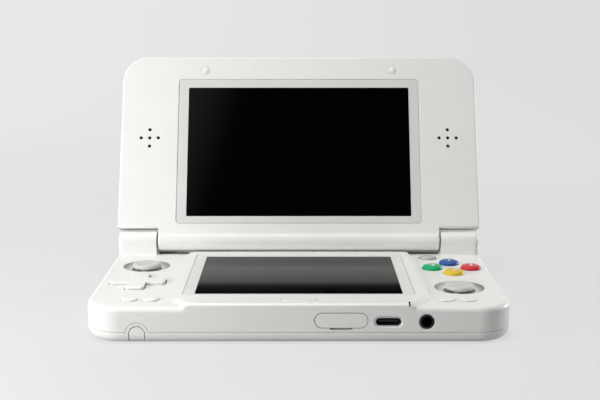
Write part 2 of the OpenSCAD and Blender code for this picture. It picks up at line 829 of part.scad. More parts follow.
module pill_hole(at, w, d) {
  translate([at[0], at[1], deck_under - 1]) linear_extrude(deck_t + platform_rise + 2)
    pill(w + 2 * button_gap, d + 2 * button_gap);
}

function face_spot(i) = face_at + face_pitch * [cos(90 * i), sin(90 * i)];
function pair_spot(at, i) = at + [(i - 0.5) * small_pitch, 0];

module control_cuts() {
  dish_cut(left_pad_at);
  dish_cut(right_pad_at);
  translate([cross_at[0], cross_at[1], deck_under - 1]) linear_extrude(deck_t + 2)
    cross_plan(cross_len + 2 * cross_gap, cross_arm + 2 * cross_gap, cross_r);
  for (i = [0:3]) deck_hole(face_spot(i), face_d / 2 + button_gap);
  for (i = [0, 1]) pill_hole(pair_spot(left_pills_at, i), small_w, small_d);
  for (i = [0, 1]) pill_hole(pair_spot(right_pills_at, i), small_w, small_d);
  pill_hole(home_at, home_w, home_d);
  deck_hole(nub_at, nub_d / 2 + nub_gap);
}

// Bevel round the mouth of a front port whose hole is w wide and h high with round ends
module port_bevel_cut(x, w, h) {
  deep = 2 * port_bevel;
  translate([x, front_y - port_bevel, port_z]) rotate([-90, 0, 0]) {
    for (side = [-1, 1]) translate([side * (w - h) / 2, 0, 0])
      cylinder(h = deep, r1 = h / 2 + deep, r2 = h / 2);
    if (w > h) along_x(w - h)
      polygon([[-h / 2 - deep, 0], [h / 2 + deep, 0], [h / 2, deep], [-h / 2, deep]]);
  }
}

module front_port_cuts() {
  along_y(front_y - 1, wall + 2) port_outline(door_x, door_z, door_w + 2 * door_gap, door_h + 2 * door_gap);
  along_y(front_y - 1, 1 + door_t) port_outline(door_x, door_z - door_h / 2 - 0.1, notch_w, 1.4);
  usb_hole_w = usb_w + 2 * (usb_shell_t + seat);
  usb_hole_h = usb_h + 2 * (usb_shell_t + seat);
  along_y(front_y - 1, wall + 2) port_outline(usb_x, port_z, usb_hole_w, usb_hole_h);
  port_bevel_cut(usb_x, usb_hole_w, usb_hole_h);
  along_y(front_y - 1, wall + 2) translate([jack_x, port_z]) circle(jack_collar_r + seat);
  port_bevel_cut(jack_x, 2 * (jack_collar_r + seat), 2 * (jack_collar_r + seat));
  translate([mic_x - mic_slit_w / 2, front_y - 1, platform_z - mic_slit_drop])
    cube([mic_slit_w, 1 + wall + mic_slit_d, 2]);
  translate([mic_x - mic_slit_w / 2, front_y + wall, deck_under - eps])
    cube([mic_slit_w, mic_slit_d, deck_t + platform_rise]);
}

// Notch in the top cover for the arched tongue of the bottom cover
module tongue_notch() {
  along_y(front_y - 1, wall + 1 + loose) translate([stylus_x, arch_z]) circle(tongue_r + seam_gap);
}

module volume_cuts() {
  reach = volume_len + 2 * volume_travel + 0.4;
  translate([-side_x - 1, volume_y - reach / 2, volume_z - volume_h / 2 - 0.2])
    cube([1 + volume_recess, reach, volume_h + 0.4]);
  translate([-side_x - 1, volume_y - reach / 2 + 1.2, volume_z - 0.7]) cube([wall + 2, reach - 2.4, 1.4]);
}

// Room for one shoulder button in the back right corner
module shoulder_cut() {
  translate([shoulder_x - shoulder_gap, partition_y, shoulder_z - shoulder_gap])
    cube([shoulder_w + shoulder_gap + 1, body_d, shoulder_h + 2 * shoulder_gap]);
}

module base_top_cover() color("whitesmoke") {
  low = seam_z + seam_gap / 2;
  difference() {
    union() {
      translate([0, 0, low]) slab(body_w, body_d, corner_r, back_corner_r, deck_z - low, deck_edge_r);
      platform();
      both_sides() knuckle();
      translate([-knuckle_x - 1, back_y - back_lip_t, deck_z - 2 * eps])
        cube([2 * knuckle_x + 2, back_lip_t, back_lip_rise + 2 * eps]);
    }
    difference() {
      slab_core(body_w, body_d, corner_r, back_corner_r, wall, low - 1, deck_under - low + 1);
      both_sides() {
        translate([shoulder_x - shoulder_gap, partition_y - partition_t, 0])
          cube([shoulder_w, partition_t, deck_z]);
        translate([shoulder_x - shoulder_gap, partition_y - eps, 0])
          cube([shoulder_w, body_d, shoulder_z - shoulder_gap]);
        for (at = post_spots) translate([at[0], at[1], 0]) cylinder(h = deck_z, r = post_r);
      }
    }
    round_plate([0, lower_glass_y], lower_glass_w + 2 * (display_border + loose),
      lower_glass_d + 2 * (display_border + loose), 0.5,
      deck_under - 1, platform_under - deck_under + 1);
    round_plate([0, lower_frame_y], lower_frame_w + 2 * seat, lower_frame_d + 2 * seat, frame_corner_r,
      lower_frame_top - frame_t, 2);
    rim_cut([0, lower_frame_y], lower_frame_w + 2 * seat, lower_frame_d + 2 * seat, frame_corner_r,
      platform_z);
    round_plate([0, lower_glass_y], lower_glass_w + 2 * window_gap, lower_glass_d + 2 * window_gap,
      glass_corner_r, deck_under - 1, deck_t + 3);
    round_plate(home_at, home_w + 4, home_d + 2, 1, deck_under - 1, platform_under - deck_under + 1);
    for (at = post_spots) both_sides() translate([at[0], at[1], low - 1])
      cylinder(h = screw_len + screw_head_t, r = screw_r + seat / 2);
    control_cuts();
    front_port_cuts();
    tongue_notch();
    volume_cuts();
    both_sides() {
      shoulder_cut();
      translate([shoulder_pin_x, shoulder_pin_y, low - 1])
        cylinder(h = deck_under + deck_t / 2 - low + 1, r = shoulder_pin_r + seat / 2);
      translate([barrel_w / 2 - hinge_slot_w, back_y - wall - hinge_slot_d, deck_under - 1])
        cube([hinge_slot_w, hinge_slot_d, deck_t + 2]);
      translate([knuckle_x + shaft_in_knuckle / 2, hinge_y, hinge_z]) along_x(shaft_in_knuckle + 0.2)
        circle(shaft_r + seat / 2);
    }
  }
}

module stylus_arch(r, base) {
  translate([stylus_x, arch_z]) circle(r);
  translate([stylus_x - r, base]) square([2 * r, arch_z - base]);
}

// Full outer form of the underside, used by the bottom cover and by the stylus end
module underside_form(h) {
  translate([0, 0, h]) mirror([0, 0, 1]) slab(body_w, body_d, corner_r, back_corner_r, h, under_r);
}

module base_bottom_cover() color("whitesmoke") {
  high = seam_z - seam_gap / 2;
  difference() {
    union() {
      difference() {
        underside_form(high);
        slab_core(body_w, body_d, corner_r, back_corner_r, wall, floor_t, high);
      }
      intersection() {
        underside_form(high);
        union() {
          for (at = post_spots) both_sides() translate([at[0], at[1], floor_t / 2])
            cylinder(h = high, r = post_r + 0.8);
        }
      }
      along_y(front_y, wall) translate([stylus_x, arch_z]) intersection() {
        circle(tongue_r);
        translate([-tongue_r, 0]) square(2 * tongue_r);
      }
    }
    along_y(front_y - 1, stylus_cap_len + 1 + stylus_gap) stylus_arch(arch_hole_r, -1);
    translate([0, 0, tube_z]) along_y(front_y, body_d - wall) translate([stylus_x, 0])
      circle(tube_r + seat);
    for (at = post_spots) both_sides() {
      translate([at[0], at[1], -1]) cylinder(h = 1 + screw_head_z + screw_head_t, r = screw_head_r + loose);
      translate([at[0], at[1], -1]) cylinder(h = seam_z + 1, r = screw_r + seat);
    }
  }
}

module base_screws() color("silver") {
  for (at = post_spots) both_sides()
    screw(at, screw_head_z + screw_head_t, screw_len, screw_r, screw_head_r, screw_head_t);
}

module lower_screen_frame() color("gainsboro") {
  difference() {
    round_plate([0, lower_frame_y], lower_frame_w, lower_frame_d, frame_corner_r,
      lower_frame_top - frame_t, frame_t);
    round_plate([0, lower_glass_y], lower_glass_w + 2 * seat, lower_glass_d + 2 * seat, glass_corner_r,
      deck_z - 1, 4);
  }
}

module lower_screen_glass() color("black") {
  round_plate([0, lower_glass_y], lower_glass_w, lower_glass_d, glass_corner_r, lower_display_top, glass_t);
}

module lower_display() color("dimgray") {
  round_plate([0, lower_glass_y], lower_glass_w + 2 * display_border, lower_glass_d + 2 * display_border,
    0.5, min(lower_display_top, platform_under) - display_t - seat, display_t);
}

module main_board() color("seagreen") {
  difference() {
    slab_core(body_w, body_d, corner_r, back_corner_r, wall + board_gap, board_under, board_t);
    both_sides() {
      for (at = post_spots) translate([at[0], at[1], 0]) cylinder(h = deck_z, r = post_r + 0.8 + loose);
      translate([shoulder_x - shoulder_gap - 1, partition_y - partition_t - loose, 0])
        cube([shoulder_w + 2, body_d, deck_z]);
    }
    translate([jack_x - jack_body_w / 2 - loose, front_y, 0])
      cube([jack_body_w + 2 * loose, jack_len + 2, deck_z]);
    translate([stylus_x - tongue_r, front_y, 0]) cube([2 * tongue_r, stylus_cap_len + 1, deck_z]);
  }
}

module processor_shield() color("silver") {
  translate([-shield_w / 2, 6 - shield_d / 2, board_top]) cube([shield_w, shield_d, shield_t]);
}

module battery() color("darkslategray") {
  round_plate([-8, 8], battery_w, battery_d, 2, floor_t + 0.1, board_under - floor_t - 0.25);
}

module stylus_tube() color("silver") {
  tube_from = front_y + stylus_cap_len + 1;
  translate([0, 0, tube_z]) along_y(tube_from, stylus_len - stylus_cap_len + 1) translate([stylus_x, 0])
    difference() {
    circle(tube_r);
    circle(stylus_r + 0.1);
  }
}

module usb_port_shell() color("silver") {
  along_y(usb_y, usb_len) difference() {
    port_outline(usb_x, port_z, usb_w + 2 * usb_shell_t, usb_h + 2 * usb_shell_t);
    port_outline(usb_x, port_z, usb_w, usb_h);
  }
}

module usb_port_tongue() color("black") {
  along_y(usb_y + usb_len - 1, 1 - seat) port_outline(usb_x, port_z, usb_w - 2 * seat, usb_h - 2 * seat);
  translate([usb_x - 3.345, usb_y + 1.2, port_z - 0.35]) cube([6.69, usb_len - 2, 0.7]);
}

module audio_jack() color("black") {
  difference() {
    union() {
      along_y(jack_y, wall) translate([jack_x, port_z]) circle(jack_collar_r);
      translate([jack_x - jack_body_w / 2, jack_body_y, port_z - jack_body_h / 2])
        cube([jack_body_w, jack_len - 1, jack_body_h]);
    }
    along_y(jack_y - 1, jack_len + 1) translate([jack_x, port_z]) circle(jack_bore_r);
  }
}

module card_reader() color("silver") {
  translate([door_x, front_y + wall + 1.4, board_top + 0.1]) difference() {
    translate([-reader_w / 2, 0, 0]) cube([reader_w, reader_d, reader_t]);
    translate([-card_w / 2, -1, reader_t / 2 - 0.2]) cube([card_w, reader_d - 1, card_t]);
  }
}

// Soft strap behind the door's upper edge. Its head is wider than the hole, and keeps it in
module card_door_strap() color("whitesmoke") {
  top = door_z + door_h / 2 - 0.3;
  inside = front_y + wall + seat;
  head_w = door_w + 2;
  translate([door_x - strap_w / 2, front_y + door_t + seat, top - strap_t])
    cube([strap_w, inside + 1 - front_y - door_t - seat, strap_t]);
  translate([door_x - head_w / 2, inside, top - 2 * strap_t]) cube([head_w, 1, 2.5 * strap_t]);
}

module microphone() color("black") {
  translate([mic_x, front_y + wall + mic_r + loose, deck_under - 2.2]) cylinder(h = 2, r = mic_r);
}

// Rubber sheet on the main board with a dome under each button
module membrane(at, w, d) {
  round_plate(at, w, d, 1.5, board_top + seat, membrane_t);
}

module dome(at, r, top) {
  translate([at[0], at[1], membrane_top - 0.1]) cylinder(h = top - membrane_top + 0.1, r = r);
}

module left_button_membrane() color("dimgray") {
  reach = cross_len / 2 - 2.4;
  to_pills = cross_at[1] - left_pills_at[1];
  membrane(left_pills_at + [0, to_pills / 2], small_pitch + 2 * membrane_rim, to_pills + small_d);
  membrane(cross_at, cross_len, cross_len + 1);
  for (i = [0:3]) dome(cross_at + reach * [cos(90 * i), sin(90 * i)], 1.8, rocker_top - rocker_t - 0.5);
  for (i = [0, 1]) dome(pair_spot(left_pills_at, i), 1.4, small_dome_top);
}

module right_button_membrane() color("dimgray") {
  membrane(face_at, 2 * (face_pitch + membrane_rim), 2 * (face_pitch + membrane_rim));
  for (i = [0:3]) dome(face_spot(i), 2, dome_top);
  membrane(right_pills_at, small_pitch + 2 * membrane_rim, small_d + 1.4);
  for (i = [0, 1]) dome(pair_spot(right_pills_at, i), 1.4, small_dome_top);
}

module home_switch() color("dimgray") {
  translate([home_at[0] - switch_w / 2, home_at[1] - 1.5, board_top + seat])
    cube([switch_w, 3, home_foot - small_travel - 0.8 - board_top]);
  translate([home_at[0], home_at[1], board_top + 1])
    cylinder(h = home_foot - small_travel - 0.15 - board_top - 1, r = 0.9);
}

module shoulder_switches() color("dimgray") {
  back = partition_y - partition_t - 2 * loose;
  both_sides() translate([shoulder_switch_x, back - shoulder_switch_d, board_top + seat])
    cube([switch_w, shoulder_switch_d, shoulder_switch_h]);
}

module pad_housing(at) {
  translate([at[0], at[1], housing_under]) difference() {
    linear_extrude(housing_top - housing_under)
      square([housing_in_w + 2 * housing_wall, housing_in_d + 2 * housing_wall], center = true);
    translate([0, 0, housing_floor]) linear_extrude(housing_top)
      square([housing_in_w, housing_in_d], center = true);
  }
}

module left_pad_housing() color("dimgray") pad_housing(left_pad_at);

module right_pad_housing() color("dimgray") pad_housing(right_pad_at);

// Shaft on the hinge axis from inside the barrel into the right knuckle
module hinge_shaft() {
  from = barrel_w / 2 - shaft_in_barrel;
  to = knuckle_x + shaft_in_knuckle;
  translate([(from + to) / 2, hinge_y, hinge_z]) along_x(to - from) circle(shaft_r);
}

module hinge_clutch_shaft() color("silver") mirror([1, 0, 0]) hinge_shaft();

module hinge_pin() color("silver") hinge_shaft();

module shoulder_pins() color("silver") {
  both_sides() translate([shoulder_pin_x, shoulder_pin_y, seam_z + 0.2])
    cylinder(h = deck_under + deck_t / 2 - seam_z - 0.4, r = shoulder_pin_r);
}

// ---- lid ----

module lid_slab(h, edge_r) {
  half = (lid_len - lid_foot) / 2;
  translate([0, lid_mid, 0]) {
    half_slab(body_w, half, lid_corner_r, h, edge_r);
    mirror([0, 1, 0]) mitred_half(body_w, half, lid_foot_r, h, edge_r);
  }
}

module lid_core(z, t) {
  translate([0, lid_mid, 0])
    slab_core(body_w, lid_len - lid_foot, lid_foot_r, lid_corner_r, lid_wall, z, t);
}

module lid_posts(z, t) {
  both_sides() translate([bumper_x, bumper_up, z]) cylinder(h = t, r = post_r);
}

// Barrel round the hinge axis with rounded ends
module barrel() {
  for (side = [0, 1]) mirror([side, 0, 0]) rotate([0, 90, 0]) rotate_extrude()
    edge_section(hinge_r, barrel_w / 2, barrel_end_r);
}

// Section of the neck that blends the barrel into the screen side. The blend's circle bites 0.02
// into the barrel, so that no face of no width is left between the two.
module neck_section() {
  reach = hinge_r + barrel_blend_r - 0.02;
  blend_at = [sqrt(pow(reach, 2) - pow(lid_in + barrel_blend_r, 2)), lid_in + barrel_blend_r];
  inside = hinge_r - 1;
  translate([inside, 0]) square([lid_foot + lid_wall - inside, lid_in]);
  difference() {
    polygon([blend_at * inside / reach, blend_at, [blend_at[0], 0]]);
    translate(blend_at) circle(barrel_blend_r);
  }
}

module lid_bezel() color("whitesmoke") in_lid() {
  low = -lid_seam + seam_gap / 2;
  difference() {
    union() {
      difference() {
        translate([0, 0, low]) lid_slab(lid_in - low, lid_edge_r);
        difference() {
          lid_core(low - 1, lid_in_under - low + 1);
          lid_posts(low, lid_in - low);
        }
      }
      barrel();
      along_x(barrel_w) neck_section();
      translate([-cable_neck_w / 2, 0, -cable_neck_z])
        cube([cable_neck_w, lid_foot + lid_wall, cable_neck_z + eps]);
    }
    along_x(barrel_w + 1) circle(clutch_r + seat / 2);
    translate([-cable_w / 2 - loose, 0, cable_z - loose])
      cube([cable_w + 2 * loose, lid_foot + lid_wall + eps, cable_t + 2 * loose]);
    round_plate([0, upper_frame_mid], upper_frame_w + 2 * seat, upper_frame_h + 2 * seat, frame_corner_r,
      upper_frame_top - frame_t, 2);
    rim_cut([0, upper_frame_mid], upper_frame_w + 2 * seat, upper_frame_h + 2 * seat, frame_corner_r,
      lid_in);
    round_plate([0, upper_glass_mid], upper_glass_w + 2 * window_gap, upper_glass_h + 2 * window_gap,
      glass_corner_r, 0, lid_in);
    both_sides() {
      translate([speaker_x, speaker_up, 0]) {
        cylinder(h = lid_in + 1, r = sound_hole_r);
        for (i = [0:3]) translate(sound_pitch * [cos(90 * i), sin(90 * i)])
          cylinder(h = lid_in + 1, r = sound_hole_r);
      }
      translate([bumper_x, bumper_up, lid_in - bumper_depth]) cylinder(h = 2, r = bumper_r + seat);
      translate([bumper_x, bumper_up, lid_in - bumper_depth - lid_head_t - seat])
        cylinder(h = 2, r = lid_head_r + seat);
      translate([bumper_x, bumper_up, low - 1]) cylinder(h = lid_in + 1, r = screw_r + seat);
    }
  }
}

module lid_outer_cover() color("whitesmoke") in_lid() {
  depth = lid_out - lid_seam - seam_gap / 2;
  difference() {
    union() {
      difference() {
        translate([0, 0, depth - lid_out]) mirror([0, 0, 1]) lid_slab(depth, lid_back_r);
        difference() {
          lid_core(-lid_out_under, lid_out);
          lid_posts(-lid_out, depth);
        }
      }
    }
    both_sides() translate([bumper_x, bumper_up, -lid_out_under])
      cylinder(h = lid_out, r = screw_r + seat / 2);
    translate([-cable_neck_w / 2 - loose, lid_foot - 1, -cable_neck_z - loose])
      cube([cable_neck_w + 2 * loose, lid_wall + 1 + eps, lid_out]);
  }
}

module upper_screen_frame() color("gainsboro") in_lid() {
  difference() {
    round_plate([0, upper_frame_mid], upper_frame_w, upper_frame_h, frame_corner_r,
      upper_frame_top - frame_t, frame_t);
    round_plate([0, upper_glass_mid], upper_glass_w + 2 * seat, upper_glass_h + 2 * seat, glass_corner_r,
      0, 2 * lid_in);
  }
}

module upper_screen_glass() color("black") in_lid() {
  round_plate([0, upper_glass_mid], upper_glass_w, upper_glass_h, glass_corner_r, upper_display_top,
    glass_t);
}

module upper_display() color("dimgray") in_lid() {
  round_plate([0, upper_glass_mid], upper_glass_w + 2 * display_border,
    upper_glass_h + 2 * display_border, 0.5,
    min(upper_display_top, lid_in_under) - display_t - seat, display_t);
}

module speaker() {
  translate([speaker_x, speaker_up, lid_in_under - speaker_t - seat])
    cylinder(h = speaker_t, r = speaker_r);
}

module left_speaker() color("black") in_lid() mirror([1, 0, 0]) speaker();

module right_speaker() color("black") in_lid() speaker();

module lid_bumpers() color("white") in_lid() {
  ball = (pow(bumper_r, 2) + pow(bumper_proud, 2)) / (2 * bumper_proud);
  both_sides() translate([bumper_x, bumper_up, lid_in]) intersection() {
    translate([0, 0, -bumper_depth]) cylinder(h = bumper_depth + bumper_proud, r = bumper_r);
    translate([0, 0, bumper_proud - ball]) sphere(ball, $fn = 128);
  }
}

module lid_screws() color("silver") in_lid() {
  seat_z = lid_in - bumper_depth - seat;
  both_sides() mirror([0, 0, 1])
    screw([bumper_x, bumper_up], lid_head_t - seat_z, seat_z - lid_head_t + lid_out_under - 0.2, screw_r,
      lid_head_r, lid_head_t);
}

module hinge_clutch() color("silver") in_lid() {
  translate([-barrel_w / 2, 0, 0]) rotate([0, 90, 0]) difference() {
    translate([0, 0, 0.2]) cylinder(h = clutch_len, r = clutch_r);
    translate([0, 0, -1]) cylinder(h = shaft_in_barrel + 1.3, r = shaft_r + running);
  }
}

module hinge_bush() color("silver") in_lid() {
  translate([barrel_w / 2, 0, 0]) rotate([0, -90, 0]) difference() {
    translate([0, 0, 0.2]) cylinder(h = bush_len, r = clutch_r);
    translate([0, 0, -1]) cylinder(h = bush_len + 3, r = shaft_r + running);
  }
}

// Flat cable: rolled up in the barrel, then out through the neck behind the display
module display_ribbon() color("darkorange") in_lid() {
  cable_from = 0.8 * cable_roll_r;
  cable_to = upper_frame_foot + upper_glass_foot - display_border + cable_under;
  along_x(cable_w) {
    difference() {
      circle(cable_roll_r);
      circle(cable_roll_r - cable_t);
    }
    translate([cable_from, cable_z]) square([cable_to - cable_from, cable_t]);
  }
}

// ---- moving pieces ----

// Slider of a pad: runs along Y in its housing and guides the stem along X
module pad_carriage(at) {
  translate([at[0], at[1], carriage_under]) linear_extrude(carriage_t) difference() {
    square([carriage_w, carriage_d], center = true);
    square([2 * (stem_r + pad_travel) + 0.2, 2 * (stem_r + running)], center = true);
  }
}

// Thumb cap on its stem, with the skirt that closes the dish and the foot under the carriage
module pad_cap(at) {
  hollow_ball = (pow(cap_d / 2 - 0.6, 2) + pow(cap_hollow, 2)) / (2 * cap_hollow);
  translate([at[0], at[1], 0]) {
    difference() {
      translate([0, 0, cap_under]) rotate_extrude() intersection() {
        edge_section(cap_d / 2, cap_top - cap_under, cap_edge_r);
        translate([0, cap_top - cap_under]) mirror([0, 1])
          edge_section(cap_d / 2, cap_top - cap_under, cap_edge_r);
      }
      translate([0, 0, cap_top - cap_hollow + hollow_ball]) sphere(hollow_ball, $fn = 128);
    }
    translate([0, 0, foot_under]) cylinder(h = cap_under + 0.3 - foot_under, r = stem_r);
    translate([0, 0, skirt_under]) cylinder(h = skirt_t, r = skirt_r);
    translate([0, 0, foot_under]) cylinder(h = foot_t, r = foot_r);
  }
}

module left_pad_carriage() color("dimgray") pad_carriage(left_pad_at);

module left_pad_cap() color("silver") pad_cap(left_pad_at);

module right_pad_carriage() color("dimgray") pad_carriage(right_pad_at);

module right_pad_cap() color("silver") pad_cap(right_pad_at);

module cross_rocker() color("dimgray") {
  translate([cross_at[0], cross_at[1], rocker_top - rocker_t]) cylinder(h = rocker_t, r = rocker_r);
}

module direction_cross() color("whitesmoke") {
  translate([cross_at[0], cross_at[1], 0]) {
    translate([0, 0, cross_flange_top - flange_t]) {
      high = cross_top - cross_flange_top + flange_t;
      slab(cross_len, cross_arm, cross_r, cross_r, high, cross_edge_r);
      slab(cross_arm, cross_len, cross_r, cross_r, high, cross_edge_r);
    }
    translate([0, 0, cross_flange_top - flange_t]) linear_extrude(flange_t)
      cross_plan(cross_len + 2 * flange_w, cross_arm + 2 * flange_w, cross_r);
  }
}

module face_button(i) {
  round_button(face_spot(i), face_d, deck_z + face_proud, face_crown, face_edge_r, flange_top,
    button_foot);
}

module right_face_button() color("crimson") face_button(0);

module back_face_button() color("royalblue") face_button(1);

module left_face_button() color("mediumseagreen") face_button(2);

module front_face_button() color("gold") face_button(3);

module small_button(at) {
  pill_button(at, small_w, small_d, deck_z + small_proud, flange_top, button_foot);
}

module left_outer_button() color("whitesmoke") small_button(pair_spot(left_pills_at, 0));

module left_inner_button() color("whitesmoke") small_button(pair_spot(left_pills_at, 1));

module right_inner_button() color("whitesmoke") small_button(pair_spot(right_pills_at, 0));

module right_outer_button() color("whitesmoke") small_button(pair_spot(right_pills_at, 1));

module home_button() color("whitesmoke") {
  pill_button(home_at, home_w, home_d, platform_z + home_proud, home_flange_top, home_foot);
}

module nub_sensor_plate() color("silver") {
  translate([nub_at[0], nub_at[1], nub_plate_top - nub_plate_t]) {
    cylinder(h = nub_plate_t, r = nub_d / 2);
    translate([0, 0, -2]) cylinder(h = 2.5, r = 0.8);
  }
}

module pointing_nub() color("gray") {
  crown = 0.4;
  ball = (nub_d * nub_d / 4 + crown * crown) / (2 * crown);
  translate([nub_at[0], nub_at[1], 0]) {
    intersection() {
      translate([0, 0, nub_pivot_z + 0.1]) cylinder(h = nub_top - nub_pivot_z - 0.1, r = nub_d / 2);
      translate([0, 0, nub_top - ball]) sphere(ball, $fn = 128);
    }
    translate([0, 0, nub_pivot_z + 0.1]) cylinder(h = 0.5, r = nub_flange_r);
  }
}

module shoulder_button() {
  translate([0, 0, shoulder_z]) linear_extrude(shoulder_h) difference() {
    intersection() {
      round_rect(body_w, body_d, back_corner_r);
      translate([shoulder_x, back_y - shoulder_d]) square([shoulder_w + 1, shoulder_d + 1]);
    }
    translate([shoulder_pin_x, shoulder_pin_y]) circle(shoulder_pin_r + running);
  }
}

module left_shoulder_button() color("whitesmoke") mirror([1, 0, 0]) shoulder_button();

module right_shoulder_button() color("whitesmoke") shoulder_button();

module card_door() color("whitesmoke") {
  along_y(front_y, door_t) port_outline(door_x, door_z, door_w, door_h);
}

module stylus() color("whitesmoke") {
  intersection() {
    along_y(front_y, stylus_cap_len) stylus_arch(arch_r, 0);
    underside_form(deck_z);
  }
  translate([stylus_x, front_y + stylus_cap_len - eps, tube_z]) rotate([-90, 0, 0]) {
    cylinder(h = stylus_len - stylus_cap_len - 1.5, r = stylus_r);
    translate([0, 0, stylus_len - stylus_cap_len - 1.5]) cylinder(h = 1.5 + eps, r1 = stylus_r, r2 = 0.5);
  }
}

module volume_slider() color("gray") {
  translate([-side_x, volume_y, volume_z]) {
    translate([0.05, -volume_len / 2, -volume_h / 2]) cube([volume_recess - 0.15, volume_len, volume_h]);
    translate([0.2, -1.3, -0.6]) cube([wall, 2.6, 1.2]);
    translate([wall + 0.1, -2.5, -1.5]) cube([0.8, 5, 3]);
  }
}

// ---- what is drawn ----

base_top_cover();
base_bottom_cover();
base_screws();
lower_screen_frame();
lower_screen_glass();
lower_display();
main_board();
processor_shield();
battery();
stylus_tube();
usb_port_shell();
usb_port_tongue();
audio_jack();
card_reader();
card_door_strap();
microphone();
left_button_membrane();
right_button_membrane();
home_switch();
shoulder_switches();
left_pad_housing();
right_pad_housing();
hinge_clutch_shaft();
hinge_pin();
shoulder_pins();
lid_outer_cover();
lid_bezel();
upper_screen_frame();
upper_screen_glass();
upper_display();
left_speaker();
right_speaker();
lid_bumpers();
lid_screws();
hinge_clutch();
hinge_bush();
display_ribbon();
left_pad_carriage();
left_pad_cap();
right_pad_carriage();
right_pad_cap();
cross_rocker();
direction_cross();
left_face_button();
back_face_button();
right_face_button();
front_face_button();
left_outer_button();
left_inner_button();
right_inner_button();
right_outer_button();
home_button();
nub_sensor_plate();
pointing_nub();
left_shoulder_button();
right_shoulder_button();
card_door();
stylus();
volume_slider();
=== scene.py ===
import json
from math import radians

import bmesh
import bpy
import numpy as np
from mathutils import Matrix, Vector

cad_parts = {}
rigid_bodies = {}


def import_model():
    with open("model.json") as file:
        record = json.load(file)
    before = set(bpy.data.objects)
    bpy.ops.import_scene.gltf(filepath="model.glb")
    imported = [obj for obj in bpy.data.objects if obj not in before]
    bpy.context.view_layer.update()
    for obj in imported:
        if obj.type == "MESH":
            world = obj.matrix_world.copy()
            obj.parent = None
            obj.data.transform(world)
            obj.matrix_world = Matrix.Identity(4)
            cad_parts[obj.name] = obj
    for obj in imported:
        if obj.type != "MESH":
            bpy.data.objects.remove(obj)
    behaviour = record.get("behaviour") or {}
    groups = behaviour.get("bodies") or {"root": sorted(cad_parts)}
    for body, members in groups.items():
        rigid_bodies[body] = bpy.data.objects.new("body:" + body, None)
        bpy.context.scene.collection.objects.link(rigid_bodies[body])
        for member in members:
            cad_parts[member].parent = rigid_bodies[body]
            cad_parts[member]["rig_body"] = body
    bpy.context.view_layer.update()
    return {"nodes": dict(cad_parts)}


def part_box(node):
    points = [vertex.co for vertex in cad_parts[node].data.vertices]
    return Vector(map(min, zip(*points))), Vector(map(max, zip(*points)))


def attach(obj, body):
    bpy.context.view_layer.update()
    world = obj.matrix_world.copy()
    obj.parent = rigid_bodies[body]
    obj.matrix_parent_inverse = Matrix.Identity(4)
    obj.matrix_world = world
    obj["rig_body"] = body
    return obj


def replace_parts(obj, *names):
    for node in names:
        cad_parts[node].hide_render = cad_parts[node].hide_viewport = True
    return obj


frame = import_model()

# ---- Camera: a 66 mm lens on a 36 mm wide picture, in front of the console and above its deck. It
# looks a little down into the open lid.
look_down = 10.877
camera_data = bpy.data.cameras.new("camera")
camera_data.lens = 65.94
camera_data.sensor_width = 36
camera_data.shift_x = 0.0021
camera_data.clip_start = 0.01
camera = bpy.data.objects.new("camera", camera_data)
camera.location = (0, -0.38535, 0.11445)
camera.rotation_euler = (radians(90 - look_down), 0, 0)
bpy.context.scene.collection.objects.link(camera)
bpy.context.scene.camera = camera


# ---- Covers: four white injection moulded ABS shells, two for the base and two for the lid. They
# meet along a fine seam and are held by screws. Satin from a spark eroded mould, with soft edges.
def material(name):
    """New node material: returns it with its tree and its Principled shader."""
    made = bpy.data.materials.new(name)
    made.use_nodes = True
    return made, made.node_tree, made.node_tree.nodes["Principled BSDF"]


def grain(tree, size, detail=2.0):
    """Noise over Object coordinates whose lumps are about size metres across."""
    place = tree.nodes.new("ShaderNodeTexCoord")
    noise = tree.nodes.new("ShaderNodeTexNoise")
    noise.inputs["Scale"].default_value = 1 / size
    noise.inputs["Detail"].default_value = detail
    tree.links.new(place.outputs["Object"], noise.inputs["Vector"])
    return noise.outputs["Fac"]


def spread(tree, value, low, high, start=0.3, end=0.7):
    """A value from start to end, such as the middle of a noise, stretched to low to high."""
    ramp = tree.nodes.new("ShaderNodeMapRange")
    ramp.inputs["From Min"].default_value = start
    ramp.inputs["From Max"].default_value = end
    ramp.inputs["To Min"].default_value = low
    ramp.inputs["To Max"].default_value = high
    tree.links.new(value, ramp.inputs["Value"])
    return ramp.outputs["Result"]


def darken(tree, share):
    """Multiplies the base colour by this share, from 0 to 1."""
    socket = tree.nodes["Principled BSDF"].inputs["Base Color"]
    product = tree.nodes.new("ShaderNodeMix")
    product.data_type = "RGBA"
    product.blend_type = "MULTIPLY"
    product.inputs["Factor"].default_value = 1
    tree.links.new(socket.links[0].from_socket, product.inputs["A"])
    tree.links.new(share, product.inputs["B"])
    tree.links.new(product.outputs["Result"], socket)


